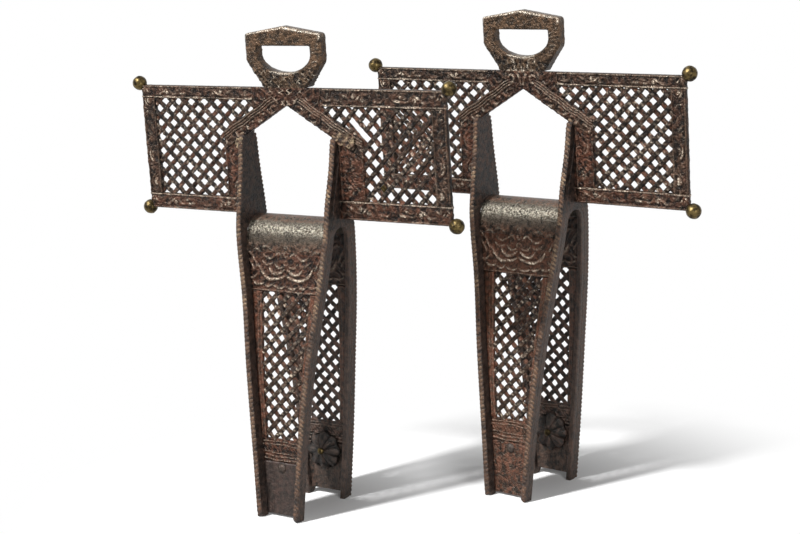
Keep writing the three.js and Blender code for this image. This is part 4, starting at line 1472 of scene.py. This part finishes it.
def tread_line(offset):
    """The tread seen from the side, this far under its outer skin, from its front foot to its back."""
    front, back = front_face(TREAD_FRONT_FOOT), back_face(TREAD_BACK_FOOT)
    nose, bend = (back - front) * NOSE_DEPTH_SHARE, (back - front) * BEND_SHARE
    rise = TREAD_TOP - TREAD_FRONT_FOOT
    points = []
    for t in np.linspace(0, math.pi / 2, NOSE_POINTS):
        y = front + nose - (nose - offset) * math.cos(t)
        points.append((y, TREAD_FRONT_FOOT + (rise - offset) * math.sin(t)))
    for t in np.linspace(math.pi / 2, 0, BEND_POINTS):
        y = back - bend + (bend - offset) * math.cos(t)
        points.append((y, TREAD_TOP - bend + (bend - offset) * math.sin(t)))
    return np.array([*points, (back - offset, TREAD_BACK_FOOT)])


TREAD_COLUMNS = 150
PANEL_TOP = 254.0


def tread():
    outside, inside = tread_line(0), tread_line(STRAP_THICKNESS)
    share = np.linspace(-1, 1, TREAD_COLUMNS)[None, :]
    layers = []
    for line in (outside, inside):
        y, z = [np.repeat(part, TREAD_COLUMNS, 1) for part in (line[:, 0:1], line[:, 1:2])]
        layers.append(np.stack([share * leg_half(z), y, z], -1))
    x, z = layers[0][..., 0], layers[0][..., 2]
    on_nose = np.arange(len(outside))[:, None] < NOSE_POINTS
    low = np.clip((PANEL_TOP - z) / 2, 0, 1) * on_nose
    height, carved = scroll_panel(x, z)
    layers[0][..., 1] -= low * height
    # A band round the nose is painted bright: a painted highlight together with boot wear.
    wear_and_painted_highlight = np.exp(-((z - HIGHLIGHT_Z) / HIGHLIGHT_HALF) ** 2)
    # The top is browner in colour, and is painted lighter as a painted sheen.
    on_top = ramp(z, TOP_START, TOP_BLEND)
    browned = np.clip((BROWN_BELOW - z) / BROWN_BLEND, 0, 1) + 1.3 * on_top
    under = np.zeros(z.size)
    worn = np.concatenate([(0.62 * wear_and_painted_highlight + 0.5 * low * carved).ravel(), under])
    rust = np.concatenate([(0.6 * browned * on_nose).ravel(), under])
    raised = np.tile((0.5 + low * (raised_share(height) - 0.5) + 0.35 * on_top).ravel(), 2)
    points = np.concatenate(layers).reshape(-1, 3)
    faces = shell_quads(len(outside), TREAD_COLUMNS)
    return make_shape(points, faces, np.clip(worn, 0, 1), rust, raised=raised)


tread_shape = tread()
for stirrup in STIRRUPS:
    add_piece(stirrup, "folded_tread", tread_shape, TREAD_IRON, ["tread"])

# %% [markdown]
# ## Balls, rosette and rivets
# These are round, so each is spun from a profile and then worked on: the balls get a casting
# seam and dents, the rosette gets eight petals, and the rivets get a hammered dome.

# %% Spin a profile
def spun(radii, heights, sides, lobe=None, worn=0.0, rust=0.0):
    """A closed shape round the Y axis, from the pole at the back to the pole at the front.

    heights run towards -Y, and lobe changes the radius by the angle.
    """
    angle = np.linspace(0, 2 * math.pi, sides, endpoint=False)
    factor = np.ones(sides) if lobe is None else lobe(angle)
    rings = []
    for r, h in zip(radii, heights):
        x, z = r * factor * np.cos(angle), r * factor * np.sin(angle)
        rings.append(np.stack([x, np.full(sides, -h), z], -1))
    rows = len(rings)
    index = np.arange(rows * sides).reshape(rows, sides)
    after = np.roll(index, -1, 1)
    quads = np.stack([index[:-1], after[:-1], after[1:], index[1:]], -1).reshape(-1, 4)
    caps = [tuple(index[0][::-1]), tuple(index[-1])]
    return make_shape(np.concatenate(rings), quads, worn, rust, caps)


def moved(shape, offset, tilt=0.0):
    c, s = math.cos(tilt), math.sin(tilt)
    turned = shape["points"] @ np.array([[1, 0, 0], [0, c, s], [0, -s, c]])
    return {**shape, "points": turned + np.array(offset)}


# %% Ball finials
BALL_RADIUS, BALL_OUT, TOP_BALL_LIFT = 7.1, 3.4, 1.4
BALL_RINGS, BALL_SIDES, POLE_GAP = 26, 40, 0.04
SEAM_RISE, SEAM_HALF = 0.22, 0.7


def ball(x, z):
    t = np.linspace(POLE_GAP, math.pi - POLE_GAP, BALL_RINGS)
    shape = spun(BALL_RADIUS * np.sin(t), -BALL_RADIUS * np.cos(t), BALL_SIDES)
    p = shape["points"]
    dents = 0.10 * np.sin(0.9 * p[:, 0] + 1.3) * np.sin(1.1 * p[:, 2] + 0.4)
    dents = dents + 0.07 * np.sin(1.7 * p[:, 1] + z)
    seam = SEAM_RISE * np.exp(-(p[:, 1] / SEAM_HALF) ** 2)
    p = p * (1 + (dents + seam - 0.2) / BALL_RADIUS)[:, None]
    return moved({**shape, "points": p}, (x, CROSS_THICKNESS / 2, z))


BALL_X = ARM + BALL_OUT
balls = {
    "top_left": (-BALL_X, CROSS_TOP + TOP_BALL_LIFT),
    "top_right": (BALL_X, CROSS_TOP + TOP_BALL_LIFT),
    "bottom_left": (-BALL_X, CROSS_BOTTOM),
    "bottom_right": (BALL_X, CROSS_BOTTOM),
}
for stirrup in STIRRUPS:
    for corner, (x, z) in balls.items():
        add_piece(stirrup, f"{corner}_finial", ball(x, z), BRASS, [f"{corner}_ball"])

# %% Rosette and rivets
ROSETTE_Z, RIVET_Z = 45.0, 47.0
ROSETTE_RADIUS, ROSETTE_RIM, ROSETTE_DOME = 19.0, 2.4, 6.0
ROSETTE_RINGS, ROSETTE_SIDES = 12, 96
DOME_RINGS, DOME_SIDES, DOME_ROOT = 9, 28, -1.5
FURROW_DEPTH = 2.4
TILT_SPAN = 12


def surface_tilt(surface, z):
    return -math.atan2(surface(z + TILT_SPAN) - surface(z - TILT_SPAN), 2 * TILT_SPAN)


def eight_petals(angle):
    return 1 - 0.11 * np.sin(4 * angle) ** 2


def hammered(angle):
    return 1 + 0.03 * np.sin(3 * angle + 0.5)


def rosette_shape():
    t = np.linspace(0, math.pi / 2 - 0.05, ROSETTE_RINGS)
    radii = np.concatenate([[0.3, 18.3], ROSETTE_RADIUS * np.cos(t)])
    heights = np.concatenate([[0, 0], ROSETTE_RIM + ROSETTE_DOME * np.sin(t)])
    shape = spun(radii, heights, ROSETTE_SIDES, eight_petals, rust=0.15)
    p = shape["points"].copy()
    angle = np.arctan2(p[:, 2], p[:, 0])
    r = np.hypot(p[:, 0], p[:, 2]) / ROSETTE_RADIUS
    on_dome = p[:, 1] < -ROSETTE_RIM - 0.1
    furrow = FURROW_DEPTH * np.abs(np.sin(4 * angle)) ** 5 * np.clip(r * 1.4, 0, 1) * on_dome
    p[:, 1] += furrow
    # The rosette is kept dark all over, its dome's tops only a little lighter: painted shade.
    worn = np.clip(0.5 - 0.5 * furrow, 0, 1) * np.clip(-p[:, 1] / 9, 0, 1) * 0.5
    return {**shape, "points": p, "worn": 0.12 * worn, "raised": 0.6 * worn}


def dome(radius, rise, worn):
    t = np.linspace(0, math.pi / 2 - 0.06, DOME_RINGS)
    radii = np.concatenate([[0.2, radius], radius * np.cos(t)])
    heights = np.concatenate([[DOME_ROOT, DOME_ROOT], rise * np.sin(t)])
    return spun(radii, heights, DOME_SIDES, hammered, worn)


tilt = surface_tilt(back_face, ROSETTE_Z)
seat = back_face(ROSETTE_Z) - STRAP_THICKNESS - PIECE_GAP
stack = ROSETTE_RIM + ROSETTE_DOME + PIECE_GAP
rosette = moved(rosette_shape(), (0, seat, ROSETTE_Z), tilt)
pin_place = (0, seat - stack * math.cos(tilt), ROSETTE_Z - stack * math.sin(tilt))
pin = moved(dome(3.4, 2.4, 0.3), pin_place, tilt)
front_tilt = surface_tilt(front_face, RIVET_Z)
front_head = moved(dome(4.6, 2.6, 0.05), (0, front_face(RIVET_Z) - PIECE_GAP, RIVET_Z), front_tilt)
for stirrup in STIRRUPS:
    add_piece(stirrup, "lobed_rosette", rosette, DARK_IRON, ["rosette"])
    add_piece(stirrup, "rosette_pin", pin, BRASS, ["rosette_rivet"])
    add_piece(stirrup, "front_rivet_head", front_head, DARK_IRON, ["front_rivet"])

# %% [markdown]
# ### Damage on the near stirrup
# A blow has frayed the lower end of its right brace, and has bent a lip of bare metal over the top
# of its left cheek. Both are thin ragged patches, paler than the plate that they lie on. The lip is
# painted bright all over, which is bare metal together with a painted highlight on the cheek's top.

# %% Ragged patches
FLAP_THICKNESS, FLAP_GRID, FLAP_RUST = 0.9, 0.5, 0.3


def ragged_patch(low, high, lift, bumpy, bare_and_highlight, seed):
    x, z = strip_grid(low, high, FLAP_GRID)
    edge_x, edge_z = 0.9 * uneven(x, z, 3, seed), 0.9 * uneven(x, z, 3, seed + 1)
    height = bumpy * uneven(x, z, 2.6, seed + 2)
    worn = np.clip(bare_and_highlight + 0.5 * uneven(x, z, 3.5, seed + 3), 0, 1)

    def at_lift(z):
        return np.full(np.shape(z), -lift)

    return slab(x + edge_x, z + edge_z, height, worn, FLAP_RUST, at_lift, FLAP_THICKNESS)


frayed_end = ragged_patch([(52, 350), (74, 343)], [(54, 360), (75, 356)], 2.2, 0.6, 0.3, 81)
# The lip is painted bright all over: bare metal together with a painted highlight.
bent_lip_highlight = ragged_patch([(-58, 341), (-52.5, 343)], [(-57.5, 350.5), (-48.5, 351.5)], 6.4, 0.15, 0.95, 91)
add_piece("left_stirrup", "frayed_brace_end", frayed_end, ROPE_IRON)
add_piece("left_stirrup", "bent_cheek_lip_highlight", bent_lip_highlight, ROPE_IRON)

# %% [markdown]
# ## Floor, light and camera
# The stirrups stand on a plain pale floor that runs far past the picture. It shows nearly white
# to the camera but keeps a soft grey shadow. A lamp like a hazy sun shines from the left, in
# front and above, and a weaker soft lamp fills from the right. The white all round shows to the
# camera and in the metal. Otherwise the world adds only a little light.

# %% Floor
FLOOR_SIZE = 14.0
SHADOW_FULL, SHADOW_GONE = 0.0, 0.3
WHITE = (1, 1, 1, 1)


def seen_or_mirrored(tree):
    """1 for a ray from the camera, off a glossy surface or through glass, and 0 for any other."""
    path = add_node(tree, "ShaderNodeLightPath").outputs
    mirrored = add_node(tree, "ShaderNodeMath", {
        0: path["Is Glossy Ray"], 1: path["Is Transmission Ray"]}, operation="MAXIMUM")
    return add_node(tree, "ShaderNodeMath", {
        0: path["Is Camera Ray"], 1: mirrored.outputs[0]}, operation="MAXIMUM").outputs[0]


def floor_material():
    material, tree = new_material("pale_floor")
    lit = add_node(tree, "ShaderNodeBsdfDiffuse", {"Color": colour("#f4f4f4")})
    bright = add_node(tree, "ShaderNodeEmission", {"Color": WHITE, "Strength": 1.0})
    place = add_node(tree, "ShaderNodeTexCoord").outputs["Object"]
    away = [
        add_node(tree, "ShaderNodeVectorMath", {0: place, 1: stirrup["origin"]}, operation="DISTANCE")
        for stirrup in STIRRUPS.values()
    ]
    nearest = add_node(tree, "ShaderNodeMath", {
        0: away[0].outputs["Value"], 1: away[1].outputs["Value"]}, operation="MINIMUM")
    fading = add_node(tree, "ShaderNodeMapRange", {
        "Value": nearest.outputs[0], "From Min": SHADOW_FULL, "From Max": SHADOW_GONE},
        interpolation_type="SMOOTHSTEP")
    share = add_node(tree, "ShaderNodeMath", {
        0: seen_or_mirrored(tree), 1: fading.outputs["Result"]}, operation="MULTIPLY")
    mixed = add_node(tree, "ShaderNodeMixShader", {
        0: share.outputs[0], 1: lit.outputs[0], 2: bright.outputs[0]})
    add_node(tree, "ShaderNodeOutputMaterial", {"Surface": mixed.outputs[0]})
    return material


floor_mesh = bpy.data.meshes.new("floor")
h = FLOOR_SIZE
floor_mesh.from_pydata([(-h, -h, 0), (h, -h, 0), (h, h, 0), (-h, h, 0)], [], [(0, 1, 2, 3)])
floor_mesh.materials.append(floor_material())
floor = bpy.data.objects.new("floor", floor_mesh)
bpy.context.scene.collection.objects.link(floor)

# %% World and lamps
WORLD_LIGHT = 0.15
WHITE_WORLD = 1.0


def make_world():
    world = bpy.data.worlds.new("studio")
    world.use_nodes = True
    tree = world.node_tree
    tree.nodes.clear()
    strength = add_node(tree, "ShaderNodeMapRange", {
        "Value": seen_or_mirrored(tree), "To Min": WORLD_LIGHT, "To Max": WHITE_WORLD})
    sky = add_node(tree, "ShaderNodeBackground", {"Color": WHITE, "Strength": strength.outputs[0]})
    add_node(tree, "ShaderNodeOutputWorld", {"Surface": sky.outputs[0]})
    bpy.context.scene.world = world


def add_lamp(name, kind, place, turn, **settings):
    """A lamp that shines along its own -Z once it is turned."""
    light = bpy.data.lights.new(name, kind)
    for key, value in settings.items():
        setattr(light, key, value)
    lamp = bpy.data.objects.new(name, light)
    lamp.location = place
    lamp.rotation_mode = "QUATERNION"
    lamp.rotation_quaternion = turn
    bpy.context.scene.collection.objects.link(lamp)


make_world()
OBJECT_MIDDLE = Vector((0.0, 0.0, 0.2))
TO_KEY = Vector((-0.32, -0.62, 0.73))
FILL_PLACE = Vector((1.7, -1.2, 0.9))
key_turn = TO_KEY.to_track_quat("Z", "Y")
fill_turn = (OBJECT_MIDDLE - FILL_PLACE).to_track_quat("-Z", "Y")
add_lamp("key_lamp", "SUN", TO_KEY, key_turn, angle=math.radians(6), energy=5.0)
add_lamp("fill_lamp", "AREA", FILL_PLACE, fill_turn, shape="DISK", size=0.7, energy=18)

# %% Camera
CAMERA_PLACE = (0.9827, -1.4392, 0.5986)
CAMERA_FORWARD = Vector((-0.5545, 0.8052, -0.2101)).normalized()
CAMERA_ROLL = 0.0621
LENS_MM = 85.92
SENSOR_MM = 36.0
NEAREST, FARTHEST = 0.05, 60


def make_camera():
    camera_data = bpy.data.cameras.new("camera")
    camera_data.sensor_width = SENSOR_MM
    camera_data.lens = LENS_MM
    camera_data.clip_start, camera_data.clip_end = NEAREST, FARTHEST
    camera = bpy.data.objects.new("camera", camera_data)
    level = CAMERA_FORWARD.cross(Vector((0, 0, 1))).normalized()
    upright = level.cross(CAMERA_FORWARD)
    up = math.cos(CAMERA_ROLL) * upright + math.sin(CAMERA_ROLL) * level
    right = CAMERA_FORWARD.cross(up)
    camera.matrix_world = Matrix((right, up, -CAMERA_FORWARD)).transposed().to_4x4()
    camera.location = CAMERA_PLACE
    bpy.context.scene.collection.objects.link(camera)
    bpy.context.scene.camera = camera


make_camera()
bpy.context.scene.view_settings.view_transform = "Standard"
print("camera at", CAMERA_PLACE)
